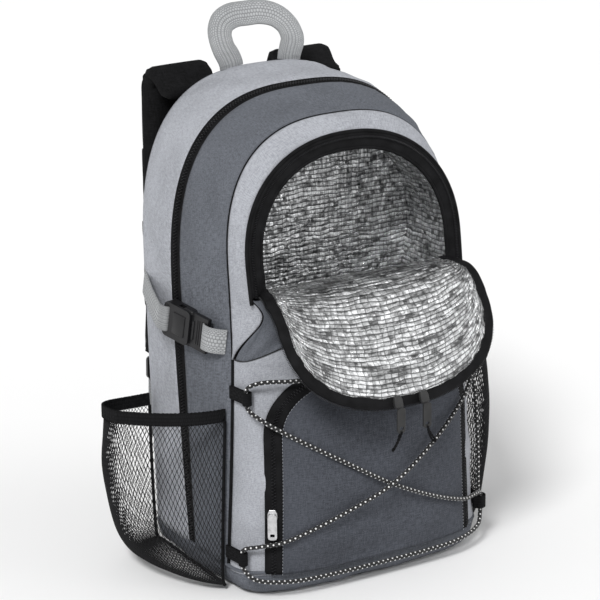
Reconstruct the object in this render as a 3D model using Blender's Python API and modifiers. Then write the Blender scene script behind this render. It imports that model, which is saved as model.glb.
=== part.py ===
"""Backpack with a cooler front, mesh side pockets and a laced elastic cord.

Frame: +Z up, front faces -Y, origin on the floor under the body. Metres.
Every cloth wall is a closed solid made between an outer and an inner sheet.
"""

import math
from collections import namedtuple

import bmesh
import bpy
from mathutils import Matrix, Vector

MM = 0.001

# Driving sizes of the body
BODY_WIDTH = 284 * MM
BODY_HEIGHT = 458 * MM
BODY_DEPTH = 190 * MM
BASE_WIDTH = 268 * MM
RIM_HEIGHT = 25 * MM
KNEE_HEIGHT = 230 * MM
FRONT_BULGE = 48 * MM
FRONT_CORNER_POWER = 3.0
CLOTH_WALL = 2.0 * MM
SEAM_GAP = 0.3 * MM
PIPING_RADIUS = 2.5 * MM
MAIN_ZIP_WIDTH = 12 * MM
BACK_PANEL_THICKNESS = 9 * MM
BACK_PANEL_EDGE = 12 * MM

# Driving sizes of the cooler and its flap
HINGE_HEIGHT = 285 * MM
WEDGE_TIP_HEIGHT = HINGE_HEIGHT - 59 * MM
WEDGE_RISE = 24 * MM
FRAME_WIDTH = 14 * MM
FRAME_THICKNESS = 2.5 * MM
LINER_FLOOR_HEIGHT = HINGE_HEIGHT - 45 * MM
LINER_HALF_WIDTH = 106 * MM
LINER_FLOOR_HALF_WIDTH = 88 * MM
LINER_DEPTH = 58 * MM
LINER_EDGE_DROP = 8 * MM
FLAP_HALF_WIDTH = 112 * MM
FLAP_HINGE_HALF_WIDTH = 103 * MM
FLAP_SIDE_LENGTH = 66 * MM
FLAP_LENGTH = 148 * MM
FLAP_THICKNESS = 5 * MM
FLAP_TIP_POWER = 2.3
BINDING_WIDTH = 11 * MM
BINDING_THICKNESS = 6 * MM
FRAME_START_HEIGHT = HINGE_HEIGHT + BINDING_THICKNESS + 1 * MM

# Driving sizes of the front pocket
POCKET_HALF_WIDTH = 111 * MM
POCKET_FOOT_HALF_WIDTH = 114 * MM
POCKET_SPRING_HEIGHT = 150 * MM
POCKET_TOP_HEIGHT = 220 * MM
POCKET_ZIP_WIDTH = 14 * MM
POCKET_ZIP_THICKNESS = 1.5 * MM
POCKET_ZIP_RISE = 4 * MM
POCKET_BULGE = 13 * MM

# Driving sizes of the mesh side pockets
MESH_WALL = 1.2 * MM
MESH_REACH = 70 * MM
MESH_BACK_HEIGHT = 144 * MM
MESH_FRONT_HEIGHT = 166 * MM
MESH_PEAK_SKEW = 1.6
HEM_HEIGHT = 12 * MM
HEM_THICKNESS = 2.2 * MM

# Driving sizes of webbing, straps and hardware
WEBBING_WIDTH = 25 * MM
WEBBING_THICKNESS = 1.6 * MM
WEBBING_TAIL = 58 * MM
LOOP_HALF_SPAN = 30 * MM
LOOP_RISE = 43 * MM
LOOP_LEAN = 60
LOOP_THICKNESS = 2.4 * MM
STRAP_ROOT_HEIGHT = 436 * MM
STRAP_WIDTH = 64 * MM
STRAP_THICKNESS = 12 * MM
STRAP_CENTRE = 66 * MM
STRAP_STAND = 46 * MM
BUCKLE_HEIGHT = 248 * MM
BUCKLE_SHARE = 0.36
BUCKLE_STAND = 2.5 * MM
BUCKLE_LENGTH = 54 * MM
BUCKLE_WIDTH = 34 * MM
BUCKLE_THICKNESS = 11 * MM
BUCKLE_BAR = 3.5 * MM
BUCKLE_SLOT = 4.0 * MM
PRONG_THICKNESS = 4.5 * MM
SOCKET_SHARE = 0.62
TAB_LENGTH = 30 * MM
TAB_STAND = 1.6 * MM
TAB_LEAN = 0.1
TAB_WIDTH = 13 * MM
TAB_THICKNESS = 3.2 * MM
UPPER_TAB_HEIGHT = 196 * MM
LOWER_TAB_HEIGHT = 42 * MM
CORD_RADIUS = 2.0 * MM
CORD_CLEARANCE = 0.8 * MM
LOCK_LENGTH = 22 * MM
LOCK_WIDTH = 32 * MM
LOCK_THICKNESS = 3.5 * MM

# Driving sizes of the zip sliders and pullers
SLIDER_LENGTH = 12 * MM
SLIDER_WIDTH = 9 * MM
SLIDER_THICKNESS = 4 * MM
PULLER_LENGTH = 25 * MM
PULLER_WIDTH = 8.5 * MM
PULLER_THICKNESS = 1.8 * MM
PULLER_CLEARANCE = 0.5 * MM
PULLER_HOLE = 3.0 * MM
POCKET_SLIDER_HEIGHT = 90 * MM
POCKET_SLIDER_SHARE = 0.4
COOLER_PULLER_LENGTH = 24 * MM
COOLER_SLIDER_SPREAD = 14 * MM

# Steps that the curves are drawn with
LEG_STEPS = 4
CURVE_STEPS = 18
FRONT_COLUMNS = 14
FLAP_COLUMNS = 14
FLAP_ROWS = 7
POCKET_COLUMNS = 10

Arch = namedtuple("Arch", "half_width foot_half_width spring top power depth slope foot_slope")

# The body's seams as arches. Half widths are shares of the body's width, at the
# foot of the base's width. Spring and top are shares of the height, depth is a
# share of the body's depth at the knee, and the slopes are above and below it.
#             half   foot   spring  top   power  depth   slope  foot slope
ARCH_TABLE = {
    "back":   (0.468, 0.489, 0.627, 1.000, 2.7, 0.474, 0.035, 0.035),
    "widest": (0.500, 0.504, 0.605, 0.991, 2.7, 0.105, 0.035, 0.035),
    "front":  (0.425, 0.496, 0.657, 0.950, 2.6, -0.284, 0.096, 0.010),
    "cooler": (0.400, 0.360, 0.686, 0.917, 2.2, -0.437, 0.148, 0.148),
}


def make_arch(name):
    half, foot, spring, top, power, depth, slope, foot_slope = ARCH_TABLE[name]
    return Arch(half * BODY_WIDTH, foot * BASE_WIDTH, spring * BODY_HEIGHT,
                top * BODY_HEIGHT, power, depth * BODY_DEPTH, slope, foot_slope)


BACK = make_arch("back")
WIDEST = make_arch("widest")
FRONT = make_arch("front")
COOLER = make_arch("cooler")
POCKET = Arch(POCKET_HALF_WIDTH, POCKET_FOOT_HALF_WIDTH, POCKET_SPRING_HEIGHT,
              POCKET_TOP_HEIGHT, 2.6, 0.0, 0.0, 0.0)
BODY_FOOT = RIM_HEIGHT + SEAM_GAP


def plain_material(name, color, roughness, metallic=0.0):
    material = bpy.data.materials.new(name)
    material.use_nodes = True
    shader = material.node_tree.nodes["Principled BSDF"]
    shader.inputs["Base Color"].default_value = (*color, 1.0)
    shader.inputs["Roughness"].default_value = roughness
    shader.inputs["Metallic"].default_value = metallic
    material.diffuse_color = (*color, 1.0)
    return material


def clear_scene():
    for item in list(bpy.data.objects):
        bpy.data.objects.remove(item, do_unlink=True)


clear_scene()
PARTS = bpy.data.collections.new("backpack")
CUTTERS = bpy.data.collections.new("cutters")
bpy.context.scene.collection.children.link(PARTS)
bpy.context.scene.collection.children.link(CUTTERS)

LIGHT_CLOTH = ("light_cloth", (0.41, 0.42, 0.44), 0.9, 0.0)
DARK_CLOTH = ("dark_cloth", (0.085, 0.09, 0.105), 0.9, 0.0)
POCKET_CLOTH = ("pocket_cloth", (0.07, 0.075, 0.09), 0.9, 0.0)
BLACK_CLOTH = ("black_cloth", (0.012, 0.012, 0.014), 0.85, 0.0)
BLACK_TAPE = ("black_tape", (0.015, 0.015, 0.017), 0.7, 0.0)
GREY_WEBBING = ("grey_webbing", (0.36, 0.37, 0.39), 0.85, 0.0)
FOIL = ("foil", (0.78, 0.79, 0.81), 0.25, 0.9)
NETTING = ("netting", (0.03, 0.03, 0.035), 0.8, 0.0)
BUCKLE_PLASTIC = ("buckle_plastic", (0.03, 0.03, 0.032), 0.4, 0.0)
ZINC = ("zinc", (0.62, 0.62, 0.62), 0.3, 1.0)
ELASTIC = ("elastic", (0.02, 0.02, 0.022), 0.8, 0.0)


def add_part(name, bm, finish):
    """Turn a closed bmesh into a named part with its own material."""
    bmesh.ops.recalc_face_normals(bm, faces=bm.faces)
    mesh = bpy.data.meshes.new(name)
    bm.to_mesh(mesh)
    bm.free()
    mesh.materials.append(plain_material(f"{name}_{finish[0]}", *finish[1:]))
    mesh.shade_smooth()
    mesh.set_sharp_from_angle(angle=math.radians(40))
    part = bpy.data.objects.new(name, mesh)
    PARTS.objects.link(part)
    return part


def loft(name, rings, finish):
    """A closed solid through closed rings, capped at both ends."""
    bm = bmesh.new()
    loops = [[bm.verts.new(point) for point in ring] for ring in rings]
    for lower, upper in zip(loops, loops[1:]):
        for here in range(len(lower)):
            after = (here + 1) % len(lower)
            bm.faces.new((lower[here], lower[after], upper[after], upper[here]))
    bm.faces.new(loops[0])
    bm.faces.new(loops[-1])
    return add_part(name, bm, finish)


def border(rows):
    """The points round a grid of rows, once round."""
    right = [row[-1] for row in rows[1:-1]]
    left = [row[0] for row in rows[-2:0:-1]]
    return rows[0] + right + rows[-1][::-1] + left


def cloth_wall(name, outer, inner, finish):
    """A thin closed wall between an outer and an inner grid of points."""
    bm = bmesh.new()
    sheets = []
    for sheet in (outer, inner):
        grid = [[bm.verts.new(point) for point in row] for row in sheet]
        for row, following in zip(grid, grid[1:]):
            for i in range(len(row) - 1):
                bm.faces.new((row[i], row[i + 1], following[i + 1], following[i]))
        sheets.append(border(grid))
    outside, inside = sheets
    for i in range(len(outside)):
        j = (i + 1) % len(outside)
        bm.faces.new((outside[i], outside[j], inside[j], inside[i]))
    return add_part(name, bm, finish)


def cord_part(name, points, radius, finish):
    """A round cord along chosen points."""
    curve = bpy.data.curves.new(name, "CURVE")
    curve.dimensions = "3D"
    curve.bevel_depth = radius
    curve.bevel_resolution = 2
    curve.use_fill_caps = True
    spline = curve.splines.new("POLY")
    spline.points.add(len(points) - 1)
    for slot, point in zip(spline.points, points):
        slot.co = (*point, 1.0)
    curve.materials.append(plain_material(f"{name}_{finish[0]}", *finish[1:]))
    part = bpy.data.objects.new(name, curve)
    PARTS.objects.link(part)
    return part


def flat_part(name, outlines, thickness, frame, finish):
    """A flat plate from an outline and its holes, placed by a frame."""
    curve = bpy.data.curves.new(name, "CURVE")
    curve.dimensions = "2D"
    curve.fill_mode = "BOTH"
    curve.extrude = thickness / 2
    for outline in outlines:
        spline = curve.splines.new("POLY")
        spline.points.add(len(outline) - 1)
        for slot, (x, y) in zip(spline.points, outline):
            slot.co = (x, y, 0.0, 1.0)
        spline.use_cyclic_u = True
    curve.materials.append(plain_material(f"{name}_{finish[0]}", *finish[1:]))
    part = bpy.data.objects.new(name, curve)
    part.matrix_world = frame
    PARTS.objects.link(part)
    return part


def as_mesh(part):
    """Replace a curve part by its welded mesh, so that it can be cut."""
    bpy.context.view_layer.update()
    evaluated = part.evaluated_get(bpy.context.evaluated_depsgraph_get())
    mesh = bpy.data.meshes.new_from_object(evaluated)
    bm = bmesh.new()
    bm.from_mesh(mesh)
    bmesh.ops.remove_doubles(bm, verts=bm.verts, dist=0.01 * MM)
    bmesh.ops.recalc_face_normals(bm, faces=bm.faces)
    bm.to_mesh(mesh)
    bm.free()
    name = part.name
    place = part.matrix_world.copy()
    bpy.data.objects.remove(part)
    solid = bpy.data.objects.new(name, mesh)
    solid.matrix_world = place
    PARTS.objects.link(solid)
    return solid


def cut(part, cutter):
    """Cut one solid with another and keep the cutter hidden."""
    for collection in list(cutter.users_collection):
        collection.objects.unlink(cutter)
    CUTTERS.objects.link(cutter)
    cutter.hide_render = True
    cutter.display_type = "WIRE"
    modifier = part.modifiers.new(cutter.name, "BOOLEAN")
    modifier.object = cutter
    modifier.operation = "DIFFERENCE"
    modifier.solver = "EXACT"


def box_cutter(name, size, frame):
    bm = bmesh.new()
    bmesh.ops.create_cube(bm, size=1.0)
    bmesh.ops.scale(bm, vec=size, verts=bm.verts)
    mesh = bpy.data.meshes.new(name)
    bm.to_mesh(mesh)
    bm.free()
    cutter = bpy.data.objects.new(name, mesh)
    cutter.matrix_world = frame
    CUTTERS.objects.link(cutter)
    return cutter


def frame_from(origin, along, outward):
    """A right-handed frame: X along the piece, Z outward from the bag."""
    x = along.normalized()
    z = (outward - x * outward.dot(x)).normalized()
    y = z.cross(x)
    rotation = Matrix((x, y, z)).transposed().to_4x4()
    return Matrix.Translation(origin) @ rotation


def smooth_path(points, steps, straight=0.0):
    """A smooth curve through the points; spans up to the straight length stay straight."""
    slopes = []
    for i, point in enumerate(points):
        before = points[max(i - 1, 0)]
        after = points[min(i + 1, len(points) - 1)]
        slopes.append((after - before) / ((point - before).length + (after - point).length))
    path = []
    for i, (start, end) in enumerate(zip(points, points[1:])):
        span = (end - start).length
        pieces = steps if span > straight else 1
        for step in range(pieces):
            t = step / pieces
            path.append(start * (2 * t ** 3 - 3 * t ** 2 + 1) + end * (3 * t ** 2 - 2 * t ** 3)
                        + slopes[i] * span * (t ** 3 - 2 * t ** 2 + t)
                        + slopes[i + 1] * span * (t ** 3 - t ** 2))
    path.append(points[-1])
    return path


def ribbon_rings(path, sideways, width, thickness, corner=0.25):
    """Flat rings along a path; sideways gives the width's direction."""
    rings = []
    for i, point in enumerate(path):
        ahead = path[min(i + 1, len(path) - 1)]
        behind = path[max(i - 1, 0)]
        along = (ahead - behind).normalized()
        wanted = sideways[min(i, len(sideways) - 1)]
        side = (wanted - along * wanted.dot(along)).normalized()
        up = side.cross(along)
        half = width[i] / 2 if isinstance(width, list) else width / 2
        flat = half - thickness * corner
        tall = thickness / 2
        low = tall * (1 - corner)
        offsets = ((half, -low), (half, low), (flat, tall), (-flat, tall),
                   (-half, low), (-half, -low), (-flat, -tall), (flat, -tall))
        rings.append([point + side * a + up * b for a, b in offsets])
    return rings


def rounded_outline(length, width, radius, start=0.0, steps=3):
    """A rounded rectangle from start to start + length, centred across."""
    centres = ((start + length - radius, width / 2 - radius, 0),
               (start + radius, width / 2 - radius, 90),
               (start + radius, radius - width / 2, 180),
               (start + length - radius, radius - width / 2, 270))
    outline = []
    for x, y, turn in centres:
        for step in range(steps + 1):
            angle = math.radians(turn + 90 * step / steps)
            outline.append((x + radius * math.cos(angle), y + radius * math.sin(angle)))
    return outline


def arch_half_width(arch, height, inset=0.0):
    """Half the arch's width at a height on its straight legs."""
    drop = max(arch.spring - height, 0.0) / (arch.spring - RIM_HEIGHT)
    return arch.half_width - inset + (arch.foot_half_width - arch.half_width) * drop ** 1.5


def arch_depth(arch, height):
    """The seam leans by one slope above the knee and by another below it."""
    rise = height - KNEE_HEIGHT
    return arch.depth + rise * (arch.slope if rise > 0 else arch.foot_slope)


def leg_heights(foot, spring):
    """Heights of an arch's straight legs, none where it starts above them."""
    if foot > spring:
        return []
    return [foot + (spring - foot) * step / LEG_STEPS for step in range(LEG_STEPS)]


def arch_curve(half, spring, top, power, foot, steps):
    """The arch's curved part, with the legs' steps where it has no legs."""
    rise = top - spring
    start = 0.0
    if foot > spring:
        start = math.asin(((foot - spring) / rise) ** (power / 2))
        steps += 2 * LEG_STEPS
    curve = []
    for step in range(steps + 1):
        angle = start + (math.pi - 2 * start) * step / steps
        across = math.copysign(abs(math.cos(angle)) ** (2 / power), -math.cos(angle))
        curve.append((half * across, spring + rise * abs(math.sin(angle)) ** (2 / power)))
    return curve


def arch_line(arch, inset=0.0, shift=0.0, foot=BODY_FOOT, curve_steps=CURVE_STEPS):
    """Points from the left foot over the top to the right foot."""
    left = [(-arch_half_width(arch, z, inset), z) for z in leg_heights(foot, arch.spring)]
    curve = arch_curve(arch.half_width - inset, arch.spring, arch.top - inset, arch.power,
                       foot, curve_steps)
    right = [(-x, z) for x, z in reversed(left)]
    return [Vector((x, arch_depth(arch, z) + shift, z)) for x, z in left + curve + right]


def between(line, other, share):
    return [a.lerp(b, share) for a, b in zip(line, other)]


def table_value(table, share):
    """Read a table of (share, value) rows, smooth between its rows."""
    for (low, value), (high, following) in zip(table, table[1:]):
        if share <= high:
            t = max(share - low, 0.0) / (high - low)
            return value + (following - value) * t * t * (3 - 2 * t)
    return table[-1][1]


# How far the lower front bulges, by the share of the hinge's height
FRONT_FULLNESS = ((0.0, 1.0), (0.5, 1.0), (1.0, 0.70))


def front_bulge(height):
    return FRONT_BULGE * table_value(FRONT_FULLNESS, height / HINGE_HEIGHT)


def front_angle_start():
    """The angle on the front's curve that clears the piping."""
    reach = (PIPING_RADIUS + 2 * SEAM_GAP) / (FRONT_BULGE * FRONT_FULLNESS[-1][1])
    return math.asin(reach ** (FRONT_CORNER_POWER / 2))


def front_share(x_share):
    """How far the front stands forward at a share of its half width."""
    power = FRONT_CORNER_POWER
    return max(1 - abs(x_share) ** power, 0.0) ** (1 / power)


def front_depth(x, height):
    """Depth of the lower front's outer face."""
    share = x / arch_half_width(FRONT, height)
    return arch_depth(FRONT, height) - front_bulge(height) * front_share(share)


def wedge_height(x):
    """Height of the seam between the lower and the upper front panel."""
    share = min(abs(x) / arch_half_width(FRONT, WEDGE_TIP_HEIGHT), 1.0)
    return WEDGE_TIP_HEIGHT + WEDGE_RISE * (1 - share ** 2.2)


def front_columns(count=FRONT_COLUMNS):
    """Shares across the front and forward, close together at the corners."""
    start = front_angle_start()
    power = 2 / FRONT_CORNER_POWER
    columns = []
    for i in range(count + 1):
        angle = start + (math.pi - 2 * start) * i / count
        across = -math.copysign(abs(math.cos(angle)) ** power, math.cos(angle))
        columns.append((across, math.sin(angle) ** power))
    return columns


def back_panel():
    inset = CLOTH_WALL + SEAM_GAP
    front_shift = -BACK_PANEL_THICKNESS / 2
    rings = [arch_line(BACK, inset, front_shift),
             arch_line(BACK, inset, BACK_PANEL_THICKNESS / 6),
             arch_line(BACK, inset + BACK_PANEL_EDGE, BACK_PANEL_THICKNESS / 2)]
    loft("back_panel", rings, BLACK_CLOTH)


def band(name, lines, finish):
    """A wall through arch lines, each made at the outer and inner face."""
    cloth_wall(name, [line(0.0) for line in lines], [line(CLOTH_WALL) for line in lines], finish)


def zip_share():
    return MAIN_ZIP_WIDTH / (WIDEST.depth - FRONT.depth)


def gusset_line(share, shift=0.0):
    """A line between the widest arch and the front arch."""
    def line(inset):
        start = arch_line(WIDEST, inset, shift)
        end = arch_line(FRONT, inset, shift)
        return between(start, end, share)
    return line


def side_bands():
    seam = SEAM_GAP / 2
    clear = PIPING_RADIUS + SEAM_GAP
    share = zip_share()
    band("rear_gusset", [lambda inset: arch_line(BACK, inset),
                         gusset_line(0.0, seam)], LIGHT_CLOTH)
    band("main_zip", [gusset_line(0.0, -seam), gusset_line(share, seam)], BLACK_TAPE)
    band("main_gusset", [gusset_line(share, -seam), gusset_line(1.0, clear)], DARK_CLOTH)


def front_piping():
    line = arch_line(FRONT, PIPING_RADIUS * 0.6, 0.0, BODY_FOOT + PIPING_RADIUS / 2)
    cord_part("front_piping", line, PIPING_RADIUS, BLACK_TAPE)


def lobe_edge(height, inset):
    """Front edge of the cooler gusset's tapered end, on the left."""
    share = (height - WEDGE_TIP_HEIGHT) / (HINGE_HEIGHT - WEDGE_TIP_HEIGHT)
    tip = Vector((-arch_half_width(FRONT, WEDGE_TIP_HEIGHT, inset),
                  arch_depth(FRONT, WEDGE_TIP_HEIGHT) - PIPING_RADIUS - 2 * SEAM_GAP,
                  WEDGE_TIP_HEIGHT))
    top = Vector((-arch_half_width(COOLER, HINGE_HEIGHT, inset),
                  arch_depth(COOLER, HINGE_HEIGHT), HINGE_HEIGHT))
    return tip.lerp(top, share)


def cooler_gusset():
    clear = PIPING_RADIUS + SEAM_GAP
    lobe_steps = 4
    heights = [WEDGE_TIP_HEIGHT + (HINGE_HEIGHT - WEDGE_TIP_HEIGHT) * i / lobe_steps
               for i in range(lobe_steps)]
    sheets = []
    for inset in (0.0, CLOTH_WALL):
        back_left = [Vector((-arch_half_width(FRONT, z, inset), arch_depth(FRONT, z) - clear, z))
                     for z in heights]
        front_left = [lobe_edge(z + SEAM_GAP, inset) + Vector((0.0, -SEAM_GAP, 0.0))
                      for z in heights]
        rows = []
        for left, arch, shift in ((back_left, FRONT, -clear), (front_left, COOLER, 0.0)):
            right = [Vector((-p.x, p.y, p.z)) for p in reversed(left)]
            rows.append(left + arch_line(arch, inset, shift, HINGE_HEIGHT) + right)
        sheets.append([rows[0], between(*rows, 0.5), rows[1]])
    cloth_wall("cooler_gusset", *sheets, LIGHT_CLOTH)


def lower_front_panel():
    rows_count = 6
    sheets = []
    for inset in (0.0, CLOTH_WALL):
        rows = []
        for row in range(rows_count + 1):
            line = []
            for across, forward in front_columns():
                top = wedge_height(across * arch_half_width(FRONT, WEDGE_TIP_HEIGHT)) - SEAM_GAP
                z = BODY_FOOT + (top - BODY_FOOT) * row / rows_count
                line.append(Vector((across * arch_half_width(FRONT, z, inset),
                                    arch_depth(FRONT, z) - (front_bulge(z) - inset) * forward, z)))
            rows.append(line)
        sheets.append(rows)
    cloth_wall("lower_front_panel", *sheets, LIGHT_CLOTH)


def upper_front_panel():
    rows_count = 3
    top = HINGE_HEIGHT - SEAM_GAP
    lift = 3 * SEAM_GAP
    sheets = []
    for inset in (0.0, CLOTH_WALL):
        rows = []
        for row in range(rows_count + 1):
            line = []
            for across, forward in front_columns():
                low = wedge_height(across * arch_half_width(FRONT, WEDGE_TIP_HEIGHT))
                for _ in range(4):
                    low = wedge_height(across * -lobe_edge(low, 0.0).x)
                z = low + lift + (top - low - lift) * row / rows_count
                edge = lobe_edge(z, inset)
                centre = arch_depth(FRONT, z) - (front_bulge(z) - inset)
                half = -edge.x - 2 * SEAM_GAP
                depth = edge.y + (centre - edge.y) * forward
                line.append(Vector((across * half, depth - SEAM_GAP, z)))
            rows.append(line)
        sheets.append(rows)
    cloth_wall("upper_front_panel", *sheets, DARK_CLOTH)


def liner_arch(inset):
    spring = COOLER.spring
    return Arch(LINER_HALF_WIDTH - inset, 0.0, spring,
                COOLER.top - LINER_EDGE_DROP - inset, COOLER.power, 0.0, 0.0, 0.0)


def liner_ring(inset, foot, depth, slope):
    """Closed outline of the cooler's tub in a leaning plane."""
    arch = liner_arch(inset)
    narrowing = LINER_HALF_WIDTH - LINER_FLOOR_HALF_WIDTH
    left = []
    for z in leg_heights(foot, arch.spring):
        share = (arch.spring - z) / (arch.spring - LINER_FLOOR_HEIGHT)
        left.append((-(arch.half_width - narrowing * share ** 1.5), z))
    curve = arch_curve(arch.half_width, arch.spring, arch.top, arch.power, foot, CURVE_STEPS)
    right = [(-x, z) for x, z in reversed(left)]
    return [Vector((x, depth + slope * (z - COOLER.top), z)) for x, z in left + curve + right]


def cooler_liner():
    """Foil tub, open to the front above the hinge."""
    front = arch_depth(COOLER, COOLER.top) + SEAM_GAP
    back = front + LINER_DEPTH
    outer = [liner_ring(0.0, LINER_FLOOR_HEIGHT, front, FRONT.slope),
             liner_ring(0.0, LINER_FLOOR_HEIGHT, back, WIDEST.slope)]
    inner_floor = LINER_FLOOR_HEIGHT + CLOTH_WALL
    inner = [liner_ring(CLOTH_WALL, inner_floor, front + CLOTH_WALL, FRONT.slope),
             liner_ring(CLOTH_WALL, inner_floor, back - CLOTH_WALL, WIDEST.slope)]
    mouth_foot = HINGE_HEIGHT - SEAM_GAP
    reach = 2 * CLOTH_WALL
    mouth = [liner_ring(CLOTH_WALL, mouth_foot, front - reach, FRONT.slope),
             liner_ring(CLOTH_WALL, mouth_foot, front + reach, FRONT.slope)]
    tub = loft("cooler_liner", outer, FOIL)
    cut(tub, loft("cut_tub_hollow", inner, FOIL))
    cut(tub, loft("cut_tub_mouth", mouth, FOIL))


def cooler_zip_frame():
    """Black border with the zip's fixed half, round the cooler's mouth."""
    face = -SEAM_GAP - FRAME_THICKNESS
    rows_front = [arch_line(COOLER, 0.0, face, FRAME_START_HEIGHT),
                  arch_line(COOLER, FRAME_WIDTH, face, FRAME_START_HEIGHT)]
    rows_back = [arch_line(COOLER, 0.0, -SEAM_GAP, FRAME_START_HEIGHT),
                 arch_line(COOLER, FRAME_WIDTH, -SEAM_GAP, FRAME_START_HEIGHT)]
    cloth_wall("cooler_zip_frame", rows_front, rows_back, BLACK_TAPE)


# The open flap's side view, shares of the flap's length
#              along  forward  down
FLAP_FALL = ((0.00, 0.00, 0.00),
             (0.15, 0.15, 0.003),
             (0.29, 0.275, 0.06),
             (0.44, 0.37, 0.18),
             (0.60, 0.455, 0.315),
             (0.76, 0.53, 0.455),
             (0.90, 0.585, 0.58),
             (1.00, 0.62, 0.675))


def hinge_point():
    """Middle of the flap's root, in front of the liner and on the front panel."""
    wall_depth = arch_depth(COOLER, COOLER.top) - SEAM_GAP
    depth = wall_depth + FRONT.slope * (HINGE_HEIGHT - COOLER.top)
    return Vector((0.0, depth, HINGE_HEIGHT + SEAM_GAP + BINDING_THICKNESS / 2))


def flap_side_view(distance):
    """Point and slope of the flap at a distance from its hinge."""
    rows = [Vector((0.0, -f * FLAP_LENGTH, -d * FLAP_LENGTH)) for _, f, d in FLAP_FALL]
    share = distance / FLAP_LENGTH
    marks = [row[0] for row in FLAP_FALL]
    for i in range(len(marks) - 1):
        if share <= marks[i + 1] or i == len(marks) - 2:
            t = (share - marks[i]) / (marks[i + 1] - marks[i])
            before = rows[i - 1] if i else rows[0] * 2 - rows[1]
            after = rows[i + 2] if i + 2 < len(rows) else rows[-1] * 2 - rows[-2]
            start = rows[i]
            end = rows[i + 1]
            place = 0.5 * (start * 2 + (end - before) * t
                           + (before * 2 - start * 5 + end * 4 - after) * t * t
                           + (start * 3 - before - end * 3 + after) * t ** 3)
            return place
    return rows[-1]


def flap_point(x, distance, lift):
    """A point on the flap, lifted off its middle towards the foil side."""
    step = 1.0 * MM
    place = flap_side_view(distance)
    slope = flap_side_view(distance + step) - flap_side_view(distance - step)
    normal = Vector((0.0, slope.z, -slope.y)).normalized()
    return hinge_point() + Vector((x, 0.0, 0.0)) + place + normal * lift


def flap_edge_length(share, inset):
    """Length of the flap at a share of its half width."""
    side = FLAP_SIDE_LENGTH
    tip = FLAP_LENGTH - inset - side
    return side + tip * max(1 - abs(share) ** FLAP_TIP_POWER, 0.0) ** (1 / FLAP_TIP_POWER)


def flap_half_width(distance, inset):
    """The flap widens from its hinge to its full width."""
    growth = min(distance / (FLAP_SIDE_LENGTH * 0.5), 1.0)
    width = FLAP_HINGE_HALF_WIDTH + (FLAP_HALF_WIDTH - FLAP_HINGE_HALF_WIDTH) * growth
    return width - inset


def flap_grid_point(share, down, inset, lift):
    distance = down * flap_edge_length(share, inset)
    return flap_point(share * flap_half_width(distance, inset), distance, lift)


def rounded_shares(count):
    return [math.sin(math.pi * (i / count - 0.5)) for i in range(count + 1)]


def flap_panel():
    inset = BINDING_WIDTH + SEAM_GAP
    sheets = []
    for lift in (FLAP_THICKNESS / 2, -FLAP_THICKNESS / 2):
        sheets.append([[flap_grid_point(share, row / FLAP_ROWS, inset, lift)
                        for share in rounded_shares(FLAP_COLUMNS)] for row in range(FLAP_ROWS + 1)])
    cloth_wall("flap_panel", *sheets, FOIL)


def flap_edge_line(inset, lift):
    """Points down the left edge, round the tip and up the right edge."""
    left = [flap_grid_point(-1.0, i / FLAP_ROWS, inset, lift) for i in range(FLAP_ROWS)]
    tip = [flap_grid_point(share, 1.0, inset, lift) for share in rounded_shares(FLAP_COLUMNS)]
    right = [flap_grid_point(1.0, i / FLAP_ROWS, inset, lift)
             for i in range(FLAP_ROWS - 1, -1, -1)]
    return left + tip + right


def flap_binding():
    """Black binding and zip half round the flap's free edge."""
    half = BINDING_THICKNESS / 2
    outer = [flap_edge_line(0.0, half), flap_edge_line(BINDING_WIDTH, half)]
    inner = [flap_edge_line(0.0, -half), flap_edge_line(BINDING_WIDTH, -half)]
    cloth_wall("flap_binding", outer, inner, BLACK_TAPE)


def pocket_zip():
    """Zip tape round the front pocket, on the lower front panel."""
    low = SEAM_GAP
    high = SEAM_GAP + POCKET_ZIP_RISE
    sheets = []
    for lift in (POCKET_ZIP_THICKNESS, 0.0):
        rows = []
        for inset, rise in ((0.0, low), (POCKET_ZIP_WIDTH / 2, (low + high) / 2),
                            (POCKET_ZIP_WIDTH, high)):
            line = arch_line(POCKET, inset)
            rows.append([Vector((p.x, front_depth(p.x, p.z) - rise - lift, p.z)) for p in line])
        sheets.append(rows)
    cloth_wall("pocket_zip", *sheets, BLACK_TAPE)


# How far the pocket puffs out, by the share of its height
POCKET_PUFF = ((0.0, 0.15), (0.18, 0.75), (0.42, 1.0), (0.68, 0.9), (0.86, 0.5), (1.0, 0.1))


def pocket_depth(x_share, x, height, depth_shift):
    """Depth of the pocket's outer face."""
    base = front_depth(x, height) - SEAM_GAP - POCKET_ZIP_RISE - POCKET_ZIP_THICKNESS
    share = (height - RIM_HEIGHT) / (POCKET_TOP_HEIGHT - RIM_HEIGHT)
    puff = POCKET_BULGE * table_value(POCKET_PUFF, share)
    return base - puff * max(1 - x_share ** 2, 0.0) ** 0.6 + depth_shift


def front_pocket():
    inset = POCKET_ZIP_WIDTH + SEAM_GAP
    line = arch_line(POCKET, inset)
    apex = len(line) // 2
    columns = rounded_shares(POCKET_COLUMNS)
    sheets = []
    for depth_shift in (0.0, CLOTH_WALL):
        rows = []
        for left in line[:apex]:
            rows.append([Vector((-left.x * share,
                                 pocket_depth(share, left.x * share, left.z, depth_shift),
                                 left.z)) for share in columns])
        sheets.append(rows)
    cloth_wall("front_pocket", *sheets, POCKET_CLOTH)


def inset_outline(points, distance):
    """Draw a plan outline in towards its middle by a distance."""
    half_width = max(p.x for p in points)
    front = min(p.y for p in points)
    back = max(p.y for p in points)
    middle = (front + back) / 2
    across = 1 - distance / half_width
    deep = 1 - distance / ((back - front) / 2)
    return [Vector((p.x * across, middle + (p.y - middle) * deep, 0.0)) for p in points]


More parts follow.
